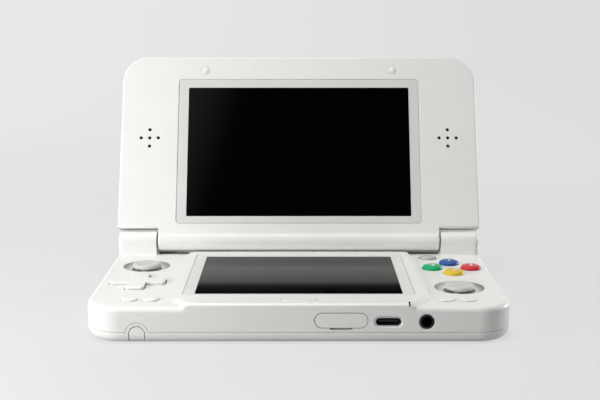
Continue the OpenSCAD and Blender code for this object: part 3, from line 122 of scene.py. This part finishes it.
def moulded(name, colour, rough, grain_size=0.0003, grain_depth=0.000002, mottle=0.025,
            mottle_size=0.012, edge=0.0001, shade_gap=0, **sockets):
    """Finish whose colour wanders by mottle, with roughness and bump from a fine grain. Sharp edges
    catch light as if rolled over by the radius edge, and the colour is darkened with painted shade
    in slots narrower than the given shade gap. Other sockets are set by name, _ for a space."""
    made, tree, shader = material(name)
    tint = tree.nodes.new("ShaderNodeMix")
    tint.data_type = "RGBA"
    tint.inputs["A"].default_value = (*(c * (1 - mottle) for c in colour), 1)
    tint.inputs["B"].default_value = (*colour, 1)
    tree.links.new(spread(tree, grain(tree, mottle_size), 0, 1), tint.inputs["Factor"])
    tree.links.new(tint.outputs["Result"], shader.inputs["Base Color"])
    # Painted shade: the colour darkens in slots and crevices that ambient occlusion finds narrow.
    if shade_gap:
        openness = tree.nodes.new("ShaderNodeAmbientOcclusion")
        openness.samples = 6
        openness.inputs["Distance"].default_value = shade_gap
        full_shade, no_shade = 0.05, 0.48
        darken(tree, spread(tree, openness.outputs["AO"], 0.1, 1, start=full_shade, end=no_shade))
    fine = grain(tree, grain_size)
    tree.links.new(spread(tree, fine, rough * 0.88, rough * 1.12), shader.inputs["Roughness"])
    bump = tree.nodes.new("ShaderNodeBump")
    bump.inputs["Distance"].default_value = grain_depth
    bump.inputs["Strength"].default_value = 0.6
    tree.links.new(fine, bump.inputs["Height"])
    rolled = tree.nodes.new("ShaderNodeBevel")
    rolled.samples = 6
    rolled.inputs["Radius"].default_value = edge
    tree.links.new(rolled.outputs["Normal"], bump.inputs["Normal"])
    tree.links.new(bump.outputs["Normal"], shader.inputs["Normal"])
    for socket, value in sockets.items():
        shader.inputs[socket.replace("_", " ")].default_value = value
    return made


def paint(finish, *nodes):
    """The CAD nodes keep their meshes and get this finish."""
    for node in nodes:
        mesh = frame["nodes"][node].data
        mesh.materials.clear()
        mesh.materials.append(finish)


def smoothed(finish, slot, *nodes, weld=0.000002, flat=0.4, crisp=25):
    """Merged copies that stand for CAD nodes: points closer than weld become one, so do faces that
    meet at less than flat degrees, edges sharper than crisp degrees stay, and the rest is shaded
    round, with each corner's normal weighted by the area of the faces round it."""
    for node in nodes:
        mesh = frame["nodes"][node].data.copy()
        shape = bmesh.new()
        shape.from_mesh(mesh)
        bmesh.ops.remove_doubles(shape, verts=shape.verts, dist=weld)
        bmesh.ops.dissolve_limit(shape, angle_limit=radians(flat), verts=shape.verts,
                                 edges=shape.edges)
        shape.to_mesh(mesh)
        shape.free()
        mesh.materials.clear()
        mesh.materials.append(finish)
        mesh.polygons.foreach_set("use_smooth", np.ones(len(mesh.polygons), bool))
        mesh.set_sharp_from_angle(angle=radians(crisp))
        piece = bpy.data.objects.new("smooth_" + node, mesh)
        bpy.context.scene.collection.objects.link(piece)
        weighted = piece.modifiers.new("normals", "WEIGHTED_NORMAL")
        weighted.keep_sharp = True
        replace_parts(piece, node)
        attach(piece, frame["nodes"][node]["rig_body"])


def coordinates(mesh):
    """The mesh's points, one row of x, y and z for each."""
    points = np.empty(3 * len(mesh.vertices))
    mesh.vertices.foreach_get("co", points)
    return points.reshape(-1, 3)


shell_colour = (0.875, 0.875, 0.85)
shell_white = moulded("shell_white", shell_colour, 0.36, edge=0.00012, IOR=1.4)
bezel_white = moulded("bezel_white", shell_colour, 0.36, edge=0.00025, shade_gap=0.0014, IOR=1.4)
smoothed(shell_white, "white_shell", "base_bottom_cover", "lid_outer_cover")
smoothed(bezel_white, "white_shell", "lid_bezel")

# The bezel's ten sound holes are wider than the CAD's: points within hole_reach of a hole's axis
# move away from it. The bezel's largest face is the one they go through, so its normal is theirs.
hole_pitch, hole_reach, wider = 0.0034, 0.0007, 1.14
mesh = bpy.data.objects["smooth_lid_bezel"].data
face_normal = np.array(max(mesh.polygons, key=lambda face: face.area).normal)
up_lid = np.cross(face_normal, (1, 0, 0))
points = coordinates(mesh)
for side in ("left", "right"):
    middle = np.mean(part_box(side + "_speaker"), 0)
    for across, up in ((0, 0), (1, 0), (-1, 0), (0, 1), (0, -1)):
        hole = middle + hole_pitch * (across * np.array([1, 0, 0]) + up * up_lid)
        away = points - hole
        away -= np.outer(away @ face_normal, face_normal)
        on_rim = np.linalg.norm(away, axis=1) < hole_reach
        points[on_rim] += (wider - 1) * away[on_rim]
mesh.vertices.foreach_set("co", points.ravel())


def measured(tree, operation, *values, vector=False):
    """Result of a math node, or of a vector math node, on these sockets, numbers or vectors."""
    node = tree.nodes.new("ShaderNodeVectorMath" if vector else "ShaderNodeMath")
    node.operation = operation
    for k, value in enumerate(values):
        if isinstance(value, bpy.types.NodeSocket):
            tree.links.new(value, node.inputs[k])
        else:
            node.inputs[k].default_value = value
    one_number = not vector or operation in ("DISTANCE", "LENGTH")
    return node.outputs["Value" if one_number else "Vector"]


def largest(tree, *values):
    """The largest of these values."""
    so_far = values[0]
    for value in values[1:]:
        so_far = measured(tree, "MAXIMUM", so_far, value)
    return so_far


def axes(tree, vector):
    """The x, y and z of a vector."""
    parts = tree.nodes.new("ShaderNodeSeparateXYZ")
    tree.links.new(vector, parts.inputs[0])
    return tuple(parts.outputs)


def corners(node):
    """Lowest and highest corner of a CAD node."""
    low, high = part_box(node)
    return np.array(low), np.array(high)


# The deck's edges roll over wider near the front corners of the leaning platform.
deck_white = moulded("deck_white", shell_colour, 0.36, shade_gap=0.0014, IOR=1.4)
tree = deck_white.node_tree
place = tree.nodes["Texture Coordinate"].outputs["Object"]
platform_corner, corner_near, corner_far = (0.0400, 0.0345, 0.0130), 0.0060, 0.0068
corner_edge, deck_edge = 0.0012, 0.00022
folded = measured(tree, "ABSOLUTE", place, vector=True)
from_corner = measured(tree, "DISTANCE", folded, platform_corner, vector=True)
edge_radius = spread(tree, from_corner, corner_edge, deck_edge, start=corner_near, end=corner_far)
tree.links.new(edge_radius, tree.nodes["Bevel"].inputs["Radius"])
# Its bowls round the two slide pads are darkened at their left and right with painted shade.
bowl_r, bowl_rim, bowl_shade_starts, bowl_shade_full, deepest_bowl_shade = 0.0087, 0.00015, 0.0056, 0.0080, 0.72
level_place = measured(tree, "MULTIPLY", place, (1, 1, 0), vector=True)
for side in ("left", "right"):
    low, high = corners(side + "_pad_cap")
    middle = ((low + high) / 2 * (1, 1, 0)).tolist()
    away = measured(tree, "SUBTRACT", level_place, middle, vector=True)
    sideways = measured(tree, "DIVIDE", measured(tree, "ABSOLUTE", axes(tree, away)[0]), bowl_r)
    reach = measured(tree, "LENGTH", away, vector=True)
    outward = spread(tree, reach, 0, 1, start=bowl_shade_starts, end=bowl_shade_full)
    inside = spread(tree, reach, 1, 0, start=bowl_r - bowl_rim, end=bowl_r + bowl_rim)
    grey = measured(tree, "MULTIPLY", measured(tree, "MULTIPLY", outward, inside),
                    measured(tree, "MULTIPLY", sideways, deepest_bowl_shade))
    darken(tree, measured(tree, "SUBTRACT", 1, grey))
# The slit of the microphone, open at the platform's front edge, is darkened inside with painted
# shade. Its sides are sharper than its ends, and each value here is below 0 in the slit.
slit_half, slit_back, slit_low, side_sharpness, fade = 0.00026, -0.0370, 0.01275, 20, 0.0002
slit_x = float(np.mean(corners("microphone"), 0)[0])
x, y, z = axes(tree, place)
off_slit = measured(tree, "ABSOLUTE", measured(tree, "SUBTRACT", x, slit_x))
beside = measured(tree, "MULTIPLY", measured(tree, "SUBTRACT", off_slit, slit_half), side_sharpness)
behind = measured(tree, "SUBTRACT", y, slit_back)
under = measured(tree, "SUBTRACT", slit_low, z)
darken(tree, spread(tree, largest(tree, beside, behind, under), 0.03, 1, start=0, end=fade))
# The trough that the hinge barrel turns in is darkened below the deck with painted shade.
trough_half, trough_y, trough_half_deep, deck_top = 0.0575, 0.0315, 0.007, 0.0119
past_end = measured(tree, "SUBTRACT", measured(tree, "ABSOLUTE", x), trough_half)
off_middle = measured(tree, "ABSOLUTE", measured(tree, "SUBTRACT", y, trough_y))
past_side = measured(tree, "SUBTRACT", off_middle, trough_half_deep)
over = measured(tree, "SUBTRACT", z, deck_top)
darken(tree, spread(tree, largest(tree, past_end, past_side, over), 0.2, 1, start=0, end=fade))
smoothed(deck_white, "white_shell", "base_top_cover")


# ---- Screws: six cross head machine screws of zinc plated steel hold the base together from below.
# Smaller ones hold the lid. The shoulder buttons' pins and the nub's plate are plain steel too.
def turned(profile, middle, around=128):
    """Surface turned about the upright axis through middle, from its top on that axis to its foot
    on it: the point (r, z) of the profile goes to (x + r cos a, y + r sin a, z) for evenly spaced
    angles a."""
    r, z = np.array(profile, float).T
    a = np.linspace(0, 2 * np.pi, around, endpoint=False)
    rings = np.stack([middle[0] + r[1:-1, None] * np.cos(a), middle[1] + r[1:-1, None] * np.sin(a),
                      np.repeat(z[1:-1, None], around, 1)], 2).reshape(-1, 3)
    points = np.concatenate([[[*middle, z[0]]], rings, [[*middle, z[-1]]]])
    j = np.arange(around)
    beside = (j + 1) % around
    row = 1 + around * np.arange(len(r) - 3)[:, None]
    walls = np.stack([row + j, row + around + j, row + around + beside, row + beside], 2)
    last = 1 + around * (len(r) - 3)
    top = np.stack([0 * j, 1 + j, 1 + beside], 1)
    foot = np.stack([last + j, 0 * j + len(points) - 1, last + beside], 1)
    return points, [*top.tolist(), *walls.reshape(-1, 4).tolist(), *foot.tolist()]


def bend(middle, wide, high, start, end, steps=12):
    """Points (r, z) of an elliptical arc about middle with these half widths: middle + (wide cos t,
    high sin t), for t from start to end degrees."""
    turn = np.radians(np.linspace(start, end, steps))
    return [(middle[0] + wide * np.cos(t), middle[1] + high * np.sin(t)) for t in turn]


def make(name, points, faces, finish, slot, body, crisp=35):
    """Piece with this mesh and finish, shaded round but for edges sharper than crisp degrees,
    riding on a body."""
    mesh = bpy.data.meshes.new(name)
    mesh.from_pydata(np.asarray(points).tolist(), [], faces)
    mesh.materials.append(finish)
    mesh.polygons.foreach_set("use_smooth", np.ones(len(mesh.polygons), bool))
    mesh.set_sharp_from_angle(angle=radians(crisp))
    piece = bpy.data.objects.new(name, mesh)
    bpy.context.scene.collection.objects.link(piece)
    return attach(piece, body)


def joined(shapes):
    """Several (points, faces) as one."""
    points, faces, so_far = [], [], 0
    for some_points, some_faces in shapes:
        points.append(some_points)
        faces += [[so_far + k for k in face] for face in some_faces]
        so_far += len(some_points)
    return np.concatenate(points), faces


steel = moulded("steel", (0.55, 0.55, 0.56), 0.3, grain_size=0.0001, Metallic=1.0)
screw_spots = [(0.0635, -0.0315), (0.0645, 0.0275), (0.03, 0.034)]
(_, _, screw_low), (_, _, screw_tip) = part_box("base_screws")
head_r, head_t, head_edge, shank_r, tip_round = 0.0019, 0.0009, 0.00015, 0.001, 0.0004
cross_reach, cross_half, cross_deep, cross_wall = 0.0011, 0.00022, 0.0005, 0.00006


def cross_head_screw(spot):
    """Screw turned from tip to head, whose face sinks by cross_deep where it lies in one of two
    crossed bars: the sink fades over cross_wall at their sides and ends."""
    face_rings = np.linspace(head_r - head_edge, 0.00004, 44)
    profile = [(0, screw_tip), *bend((0, screw_tip - tip_round), shank_r, tip_round, 85, 0, 5),
               (shank_r, screw_low + head_t), (head_r, screw_low + head_t),
               *bend((head_r - head_edge, screw_low + head_edge), head_edge, head_edge, 0, -80, 5),
               *((r, screw_low) for r in face_rings), (0, screw_low)]
    points, faces = turned(profile, spot, 96)
    x = np.abs(points[:, 0] - spot[0])
    y = np.abs(points[:, 1] - spot[1])
    in_side = np.clip((cross_half - np.minimum(x, y)) / cross_wall + 0.5, 0, 1)
    in_end = np.clip((cross_reach - np.maximum(x, y)) / cross_wall + 0.5, 0, 1)
    on_face = points[:, 2] < screw_low + 1e-7
    points[:, 2] += cross_deep * (in_side * in_end) * on_face
    return points, faces


screws = joined([cross_head_screw((side * x, y)) for x, y in screw_spots for side in (-1, 1)])
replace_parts(make("base_screw_set", *screws, steel, "steel", "base"), "base_screws")
paint(steel, "lid_screws", "shoulder_pins", "nub_sensor_plate")

# ---- Hinge: a steel clutch that holds the lid at any angle on a shaft at the left, and a pin in a
# bush at the right. Turned steel, with fine rings round the hinge axis.
hinge_steel = moulded("hinge_steel", (0.5, 0.5, 0.51), 0.27, Metallic=1.0)
tree = hinge_steel.node_tree
rings = tree.nodes.new("ShaderNodeTexWave")
rings.bands_direction = "X"
rings.inputs["Scale"].default_value = 1500
rings.inputs["Distortion"].default_value = 0.4
tree.links.new(tree.nodes["Texture Coordinate"].outputs["Object"], rings.inputs["Vector"])
tree.links.new(rings.outputs["Fac"], tree.nodes["Bump"].inputs["Height"])
smoothed(hinge_steel, "steel", "hinge_clutch_shaft", "hinge_pin", "hinge_clutch", "hinge_bush")

# ---- Direction cross and small buttons: moulded in the covers' white, a little glossier where
# fingers polish them. The cross rocks on a small disc, and the others press on rubber domes.
control_white = moulded("control_white", (0.885, 0.885, 0.86), 0.3, grain_depth=0.000001,
                        edge=0.00004, shade_gap=0.0012)
smoothed(control_white, "white_controls", "direction_cross", "left_outer_button",
         "left_inner_button", "right_inner_button", "right_outer_button", "home_button")

# ---- Shoulder buttons, card door and stylus: the same white plastic. The door hangs on a soft
# strap, and the stylus slides into a steel tube behind its arched end.
smoothed(control_white, "white_controls", "left_shoulder_button", "right_shoulder_button",
         "card_door", "stylus")

# ---- Screen frames: two pale grey printed frames in shallow recesses, round the two black panels.
# The upper one is a little darker than the lower one, as painted shade.
upper_grey = moulded("upper_frame_grey", (0.725, 0.725, 0.705), 0.5, edge=0.00008)
lower_grey = moulded("lower_frame_grey", (0.79, 0.79, 0.765), 0.5, edge=0.00008)
paint(upper_grey, "upper_screen_frame")
paint(lower_grey, "lower_screen_frame")

# ---- Black panels: hard coated polymer over each display, backed with black ink. The upper one is
# polished, and the lower one, a touch panel, is softly matt so that a stylus doesn't skate on it.
upper_glass = moulded("upper_glass", (0.0005, 0.0005, 0.0005), 0.05, mottle=0.1,
                      grain_depth=0.0000001, IOR=1.3)
touch_glass = moulded("touch_glass", (0.0006, 0.0006, 0.0006), 0.10, mottle=0.1,
                      grain_depth=0.0000001, IOR=1.165)
paint(upper_glass, "upper_screen_glass")
paint(touch_glass, "lower_screen_glass")

# ---- Displays: liquid crystal modules in folded metal trays, lined with dark film, behind the
# panels, and the flat cable of orange polyimide with copper traces that carries the upper one's
# signals through the hinge barrel.
display_film = moulded("display_film", (0.05, 0.05, 0.055), 0.25, grain_size=0.0008)
paint(display_film, "lower_display", "upper_display")
ribbon_film = moulded("ribbon_film", (0.5, 0.2, 0.03), 0.25, edge=0.00003)
tree = ribbon_film.node_tree
traces = tree.nodes.new("ShaderNodeTexWave")
traces.bands_direction = "X"
traces.inputs["Scale"].default_value = 320
tree.links.new(tree.nodes["Texture Coordinate"].outputs["Object"], traces.inputs["Vector"])
tree.links.new(spread(tree, traces.outputs["Fac"], 0, 1, start=0.45, end=0.55),
               tree.nodes["Mix"].inputs["Factor"])
tree.nodes["Mix"].inputs["A"].default_value = (0.30, 0.10, 0.02, 1)
paint(ribbon_film, "display_ribbon")

# ---- Main board: green solder resist over copper, in the middle of the base, with its chips in
# black epoxy and a row of small parts along the back at each side.
resist_green = moulded("resist_green", (0.03, 0.20, 0.10), 0.28, grain_size=0.0006, mottle=0.3)
paint(resist_green, "main_board")


def block(middle, half, low, high, edge=0.00012):
    """Box with a bevelled top: rings at low, high - edge and high, the last drawn in by edge, and
    its two caps."""
    corner = np.array([(-1, -1), (1, -1), (1, 1), (-1, 1)])
    rings = [np.column_stack([middle + corner * (np.array(half) - inset), np.full(4, z)])
             for z, inset in ((low, 0), (high - edge, 0), (high, edge))]
    around = [(4 * k + j, 4 * k + (j + 1) % 4, 4 * k + 4 + (j + 1) % 4, 4 * k + 4 + j)
              for k in (0, 1) for j in range(4)]
    return np.concatenate(rings), [[3, 2, 1, 0], *map(list, around), [8, 9, 10, 11]]


board_top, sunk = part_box("main_board")[1][2], 0.00005
chips = [((-0.030, 0.012), (0.006, 0.006), 0.0011), ((-0.031, -0.006), (0.005, 0.004), 0.001),
         ((-0.026, -0.02), (0.0035, 0.0035), 0.0009), ((0.028, 0.018), (0.004, 0.006), 0.001),
         ((0.029, 0.002), (0.0045, 0.0045), 0.0012), ((0.036, -0.012), (0.003, 0.002), 0.0009)]
small_pitch, small_half, small_high = 0.0022, (0.0008, 0.0004), 0.0005
for row_x, row_y, in_row in ((-0.038, 0.024, 9), (0.022, 0.0275, 6)):
    chips += [((row_x + small_pitch * k, row_y), small_half, small_high) for k in range(in_row)]
epoxy = moulded("epoxy", (0.02, 0.02, 0.021), 0.45)
chip_set = joined([block(np.array(at), half, board_top - sunk, board_top + high)
                   for at, half, high in chips])
make("board_chips", *chip_set, epoxy, "black_plastic", "base")

# ---- Tinned sheet: the shield over the processor, the card reader, the tube of the stylus and the
# shell of the charging port, folded or drawn from tinned steel 0.2 to 0.3 mm thick.
tinned = moulded("tinned", (0.62, 0.62, 0.6), 0.33, grain_size=0.0012, grain_depth=0.000004,
                 Metallic=1.0)
smoothed(tinned, "tinned_steel", "stylus_tube", "usb_port_shell")
paint(tinned, "processor_shield", "card_reader")

# ---- Port insides: the tongue of the charging port and the audio jack, in black glass filled
# nylon. The tongue has twelve gold contacts, each one strip that shows above and below it.
black_nylon = moulded("black_nylon", (0.006, 0.006, 0.0065), 0.45, IOR=1.4)
smoothed(black_nylon, "black_plastic", "audio_jack", "usb_port_tongue")
gold = moulded("gold", (0.8, 0.55, 0.2), 0.25, edge=0.00002, Metallic=1.0)
tongue_low, tongue_high = corners("usb_port_tongue")
tongue_x, _, tongue_z = (tongue_low + tongue_high) / 2
contact_pitch, contact_half, contact_back = 0.0005, (0.00012, 0.0016), 0.0022
contact_reach, contact_edge = 0.00037, 0.00002
strips = [block(np.array([tongue_x + contact_pitch * (k - 5.5), tongue_low[1] + contact_back]),
                contact_half, tongue_z - contact_reach, tongue_z + contact_reach, contact_edge)
          for k in range(12)]
make("usb_contacts", *joined(strips), gold, "steel", "base")

# ---- Sound: two flat speakers, each behind a cross of five holes, with cloth over their cones, and
# a microphone under the same cloth.
speaker_cloth = moulded("speaker_cloth", (0.012, 0.012, 0.012), 0.8, grain_size=0.0001,
                        grain_depth=0.00002)
paint(speaker_cloth, "left_speaker", "right_speaker", "microphone")

# ---- Battery: a lithium cell in dark shrink film, flat under the board. The film wrinkles a little
# where it shrank.
battery_film = moulded("battery_film", (0.1, 0.11, 0.12), 0.3, grain_size=0.003,
                       grain_depth=0.00002)
paint(battery_film, "battery")

# ---- Membranes: grey silicone sheets, pressed in one piece, with a carbon tipped dome under each
# button. They lie between the deck and the board.
silicone = moulded("silicone", (0.3, 0.3, 0.31), 0.55, grain_size=0.0005)
smoothed(silicone, "membrane_rubber", "left_button_membrane", "right_button_membrane")

# ---- Works of the controls: the slide pads' housings and carriages, the switches of the home and
# shoulder buttons, and the disc under the cross, all moulded in dark acetal.
acetal = moulded("acetal", (0.07, 0.07, 0.075), 0.4)
paint(acetal, "home_switch", "shoulder_switches", "left_pad_housing", "right_pad_housing",
      "left_pad_carriage", "right_pad_carriage")
smoothed(acetal, "dark_plastic", "cross_rocker")

# ---- Rubber: two white domes over the lid's screws, which cushion it when it shuts, and the soft
# strap that the card door hangs on.
bumper_white = moulded("bumper_white", (0.86, 0.86, 0.84), 0.45, grain_size=0.0002)
smoothed(bumper_white, "bumper_rubber", "lid_bumpers", "card_door_strap")

# ---- Slide pads: each thumb cap is a grey rubber faced pebble, hollow on top, on a stem with a
# thin skirt that closes the hole under it and a foot that keeps it in its housing.
pad_grey = moulded("pad_grey", (0.61, 0.61, 0.595), 0.5, grain_size=0.00015, grain_depth=0.000006,
                   edge=0.00005, shade_gap=0.002)
cap_r, cap_mid, cap_under, cap_shoulder = 0.00525, 0.0127, 0.0119, 0.0044
hollow_r, hollow_deep, lip_wide, lip_high = 0.0043, 0.00035, 0.0007, 0.0005
stem_r, skirt_top, skirt_under, foot_r, foot_t = 0.0023, 0.01065, 0.0101, 0.003, 0.0008
for side in ("left", "right"):
    low, high = corners(side + "_pad_cap")
    top, skirt_r, foot = high[2], (high[0] - low[0]) / 2, low[2]
    hollow = [(r, top - hollow_deep * (1 - (r / hollow_r) ** 2))
              for r in np.linspace(0, hollow_r, 16)]
    profile = [*hollow,
               *bend((cap_shoulder, cap_mid), cap_r - cap_shoulder, top - cap_mid, 85, 0, 14),
               *bend((cap_r - lip_wide, cap_under + lip_high), lip_wide, lip_high, 0, -90, 10),
               (stem_r, cap_under), (stem_r, skirt_top), (skirt_r, skirt_top),
               (skirt_r, skirt_under), (stem_r, skirt_under), (stem_r, foot + foot_t),
               (foot_r, foot + foot_t), (foot_r, foot), (0, foot)]
    cap = make(side + "_thumb_cap", *turned(profile, (low + high)[:2] / 2), pad_grey, "pad_grey",
               side + "_pad", crisp=50)
    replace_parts(cap, side + "_pad_cap")

# ---- Nub and volume slider: a stiff grey rubber button that feels the thumb's push, and a slider
# in the slide pads' grey, in a slot at the left.
nub_grey = moulded("nub_grey", (0.5, 0.5, 0.49), 0.35, edge=0.0002)
smoothed(nub_grey, "nub_rubber", "pointing_nub")
smoothed(pad_grey, "pad_grey", "volume_slider")


# ---- Face buttons: four domes of dyed acrylic under a thin clear coat, each with a flange that
# keeps it in, a foot on its rubber dome and a plain white numeral on top.
def numeral(figure, middle, top, tall=0.0024, thick=0.0001, bolder=0.00006):
    """A figure as a flat raised plate of this height, its middle on middle and its face at top. A
    figure is 0.7 of its font size tall."""
    curve = bpy.data.curves.new("figure", "FONT")
    curve.body = figure
    curve.size = tall / 0.7
    curve.extrude = thick / 2
    curve.offset = bolder
    drawn = bpy.data.objects.new("figure", curve)
    mesh = bpy.data.meshes.new_from_object(drawn)
    points = coordinates(mesh)
    now_at = [*(points.min(0) + points.max(0))[:2] / 2, points[:, 2].max()]
    points += np.array([*middle, top]) - np.array(now_at)
    faces = [list(face.vertices) for face in mesh.polygons]
    bpy.data.objects.remove(drawn)
    return points, faces


def dome(r, high, top, power=3.2):
    """Points (r, z) of a quarter superellipse, r sin^(2/power) t and top - high (1 - cos^(2/power)
    t), for t from 0 to 90 degrees."""
    turn = np.linspace(0, np.pi / 2, 24)
    return [(r * np.sin(t) ** (2 / power), top - high * (1 - np.cos(t) ** (2 / power)))
            for t in turn]


print_white = moulded("print_white", (0.85, 0.85, 0.85), 0.3, edge=0.00002)
dome_r, dome_high, foot_r = 0.0037, 0.0015, 0.00185
flange_top, flange_t, flange_r = 0.0106, 0.0006, 0.0044
numeral_forward, numeral_proud = 0.0003, 0.00001
for node, hue, colour, figure in (("back_face_button", "blue", (0.02, 0.10, 0.40), "1"),
                                  ("right_face_button", "red", (0.68, 0.035, 0.05), "2"),
                                  ("left_face_button", "green", (0.0, 0.42, 0.15), "3"),
                                  ("front_face_button", "yellow", (0.78, 0.54, 0.03), "4")):
    low, high = corners(node)
    middle, top, foot = (low + high)[:2] / 2, high[2], low[2]
    profile = [*dome(dome_r, dome_high, top), (dome_r, flange_top), (flange_r, flange_top),
               (flange_r, flange_top - flange_t), (foot_r, flange_top - flange_t), (foot_r, foot),
               (0, foot)]
    acrylic = moulded(hue + "_acrylic", colour, 0.22, mottle=0.1, edge=0.00003, shade_gap=0.0012,
                      Coat_Weight=0.12, Coat_Roughness=0.2, IOR=1.25)
    button = make(hue + "_dome", *turned(profile, middle), acrylic, "button_" + hue,
                  hue + "_button")
    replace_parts(button, node)
    plate = numeral(figure, middle - (0, numeral_forward), top + numeral_proud)
    make(hue + "_numeral", *plate, print_white, "white_controls", hue + "_button")


# ---- Studio: a pale paper floor and a round wall far behind it, under a small softbox low at the
# left, a large one overhead, one low at the far right, and dim even light from the room, which
# mirrors show dark at the front.
def ring_surface(r, z, around=96):
    """Surface turned about the upright axis: the line (r, z) goes to (r cos a, r sin a, z), open at
    both ends."""
    a = np.linspace(0, 2 * np.pi, around, endpoint=False)
    points = np.stack([np.outer(r, np.cos(a)), np.outer(r, np.sin(a)),
                       np.repeat(z[:, None], around, 1)], 2)
    j = np.arange(around)
    row = around * np.arange(len(r) - 1)[:, None]
    beside = (j + 1) % around
    faces = np.stack([row + around + j, row + around + beside, row + beside, row + j], 2)
    return points.reshape(-1, 3), faces


floor_r, floor_under, wall_foot, wall_top = 1.0, 0.00002, 0.3, 1.4
foot_turn = np.linspace(0, np.pi / 2, 25)
floor_line = (np.array([0.0001, floor_r]), np.full(2, -floor_under))
wall_line = (np.append(floor_r + wall_foot * np.sin(foot_turn), floor_r + wall_foot),
             np.append(wall_foot - wall_foot * np.cos(foot_turn), wall_top))
stage = {}
for name, line in (("paper_floor", floor_line), ("paper_wall", wall_line)):
    points, faces = ring_surface(*line)
    mesh = bpy.data.meshes.new(name)
    mesh.from_pydata(points.tolist(), [], faces.reshape(-1, 4).tolist())
    mesh.polygons.foreach_set("use_smooth", np.ones(len(mesh.polygons), bool))
    stage[name] = bpy.data.objects.new(name, mesh)
    bpy.context.scene.collection.objects.link(stage[name])
stage["paper_wall"].visible_glossy = False
stage["paper_wall"].visible_diffuse = False
stage["paper_wall"].visible_shadow = False

paper, tree, shader = material("paper")
shader.inputs["Roughness"].default_value = 0.9
place = tree.nodes.new("ShaderNodeTexCoord").outputs["Object"]
x, y, _ = axes(tree, place)
path = tree.nodes.new("ShaderNodeLightPath").outputs
tone = tree.nodes.new("ShaderNodeMix")
tone.data_type = "RGBA"
tone.inputs["A"].default_value = (0.4, 0.4, 0.4, 1)
tone.inputs["B"].default_value = (0.55, 0.55, 0.55, 1)
tree.links.new(path["Is Camera Ray"], tone.inputs["Factor"])
tree.links.new(tone.outputs["Result"], shader.inputs["Base Color"])
# Part of the paper's light is a glow of its own, which dims to the right and with the distance.
glow = tree.nodes.new("ShaderNodeEmission")
near_glow = spread(tree, x, 0.90, 0.85, start=-0.12, end=0.12)
far_glow = spread(tree, x, 0.812, 0.724, start=-0.3, end=0.3)
far = spread(tree, measured(tree, "LENGTH", place, vector=True), 0, 1, start=0.15, end=0.6)
step = measured(tree, "MULTIPLY", far, measured(tree, "SUBTRACT", far_glow, near_glow))
tree.links.new(measured(tree, "ADD", near_glow, step), glow.inputs["Strength"])
# The low softbox's pool of light on the floor is left out of the picture, and so is the shade far
# away: there the glow is all of it, and near the console it is pale_share of it.
left_spot, pool_r, pool_end, pale_share = (-0.28, -0.16, 0.10), 0.12, 0.25, 0.68
from_pool = measured(tree, "DISTANCE", place, (*left_spot[:2], 0), vector=True)
in_pool = spread(tree, from_pool, 1, 0, start=pool_r, end=pool_end)
plain = measured(tree, "MAXIMUM", far, in_pool)
evened = spread(tree, plain, pale_share, 1, start=0, end=1)
seen = largest(tree, path["Is Camera Ray"], path["Is Glossy Ray"], path["Is Transmission Ray"])
share = measured(tree, "MULTIPLY", seen, evened)
# From below the paper is clear, and it glows a little where the console stands, so that its
# underside shows.
stand_half_w, stand_half_d, under_glow = 0.0672, 0.0362, 0.45
across = measured(tree, "DIVIDE", measured(tree, "ABSOLUTE", x), stand_half_w)
along = measured(tree, "DIVIDE", measured(tree, "ABSOLUTE", y), stand_half_d)
stood_on = spread(tree, measured(tree, "MAXIMUM", across, along), under_glow, 0, start=0.95, end=1)
lit_under = measured(tree, "MULTIPLY", path["Is Diffuse Ray"], stood_on)
blend = tree.nodes.new("ShaderNodeMixShader")
tree.links.new(measured(tree, "MAXIMUM", share, lit_under), blend.inputs[0])
tree.links.new(shader.outputs[0], blend.inputs[1])
tree.links.new(glow.outputs[0], blend.inputs[2])
one_sided = tree.nodes.new("ShaderNodeMixShader")
tree.links.new(tree.nodes.new("ShaderNodeNewGeometry").outputs["Backfacing"], one_sided.inputs[0])
tree.links.new(blend.outputs[0], one_sided.inputs[1])
tree.links.new(tree.nodes.new("ShaderNodeBsdfTransparent").outputs[0], one_sided.inputs[2])
tree.links.new(one_sided.outputs[0], tree.nodes["Material Output"].inputs["Surface"])
for sheet in stage.values():
    sheet.data.materials.append(paper)

# The room is one level for diffuse light and another behind the stage. What mirrors see of it is
# dark at the front and pale at the back and high at the left.
world = bpy.data.worlds.new("room")
bpy.context.scene.world = world
world.use_nodes = True
tree = world.node_tree
room = tree.nodes["Background"]
room.inputs["Color"].default_value = (1, 1, 1, 1)
x, y, z = axes(tree, tree.nodes.new("ShaderNodeTexCoord").outputs["Generated"])
path = tree.nodes.new("ShaderNodeLightPath").outputs
dark, pale, even_light, backdrop = 0.02, 0.85, 0.289, 0.77
pale_back = spread(tree, y, dark, pale, start=-0.4, end=0.3)
up_left = measured(tree, "SUBTRACT", measured(tree, "MULTIPLY", z, 0.4), x)
pale_up_left = spread(tree, up_left, dark, pale, start=0.32, end=0.385)
level = tree.nodes.new("ShaderNodeMix")
level.inputs["A"].default_value = even_light
tree.links.new(largest(tree, path["Is Glossy Ray"], path["Is Transmission Ray"]),
               level.inputs["Factor"])
tree.links.new(measured(tree, "MAXIMUM", pale_back, pale_up_left), level.inputs["B"])
direct = tree.nodes.new("ShaderNodeMix")
direct.inputs["B"].default_value = backdrop
tree.links.new(path["Is Camera Ray"], direct.inputs["Factor"])
tree.links.new(level.outputs["Result"], direct.inputs["A"])
tree.links.new(direct.outputs["Result"], room.inputs["Strength"])


def softbox(name, spot, size, power, aim=(0, 0, 0.03)):
    """Square softbox of this size at spot, facing aim, the middle of the console."""
    data = bpy.data.lights.new(name, "AREA")
    data.size = size
    data.energy = power
    box = bpy.data.objects.new(name, data)
    box.location = spot
    box.rotation_euler = (Vector(aim) - Vector(spot)).to_track_quat("-Z", "Y").to_euler()
    box.visible_camera = False
    bpy.context.scene.collection.objects.link(box)


softbox("left_softbox", left_spot, 0.08, 0.712)
softbox("high_softbox", (0, -0.05, 0.9), 0.4, 3.5)
softbox("right_softbox", (0.98, 0.46, 0.15), 0.3, 5.0)

bpy.context.scene.view_settings.view_transform = "Standard"
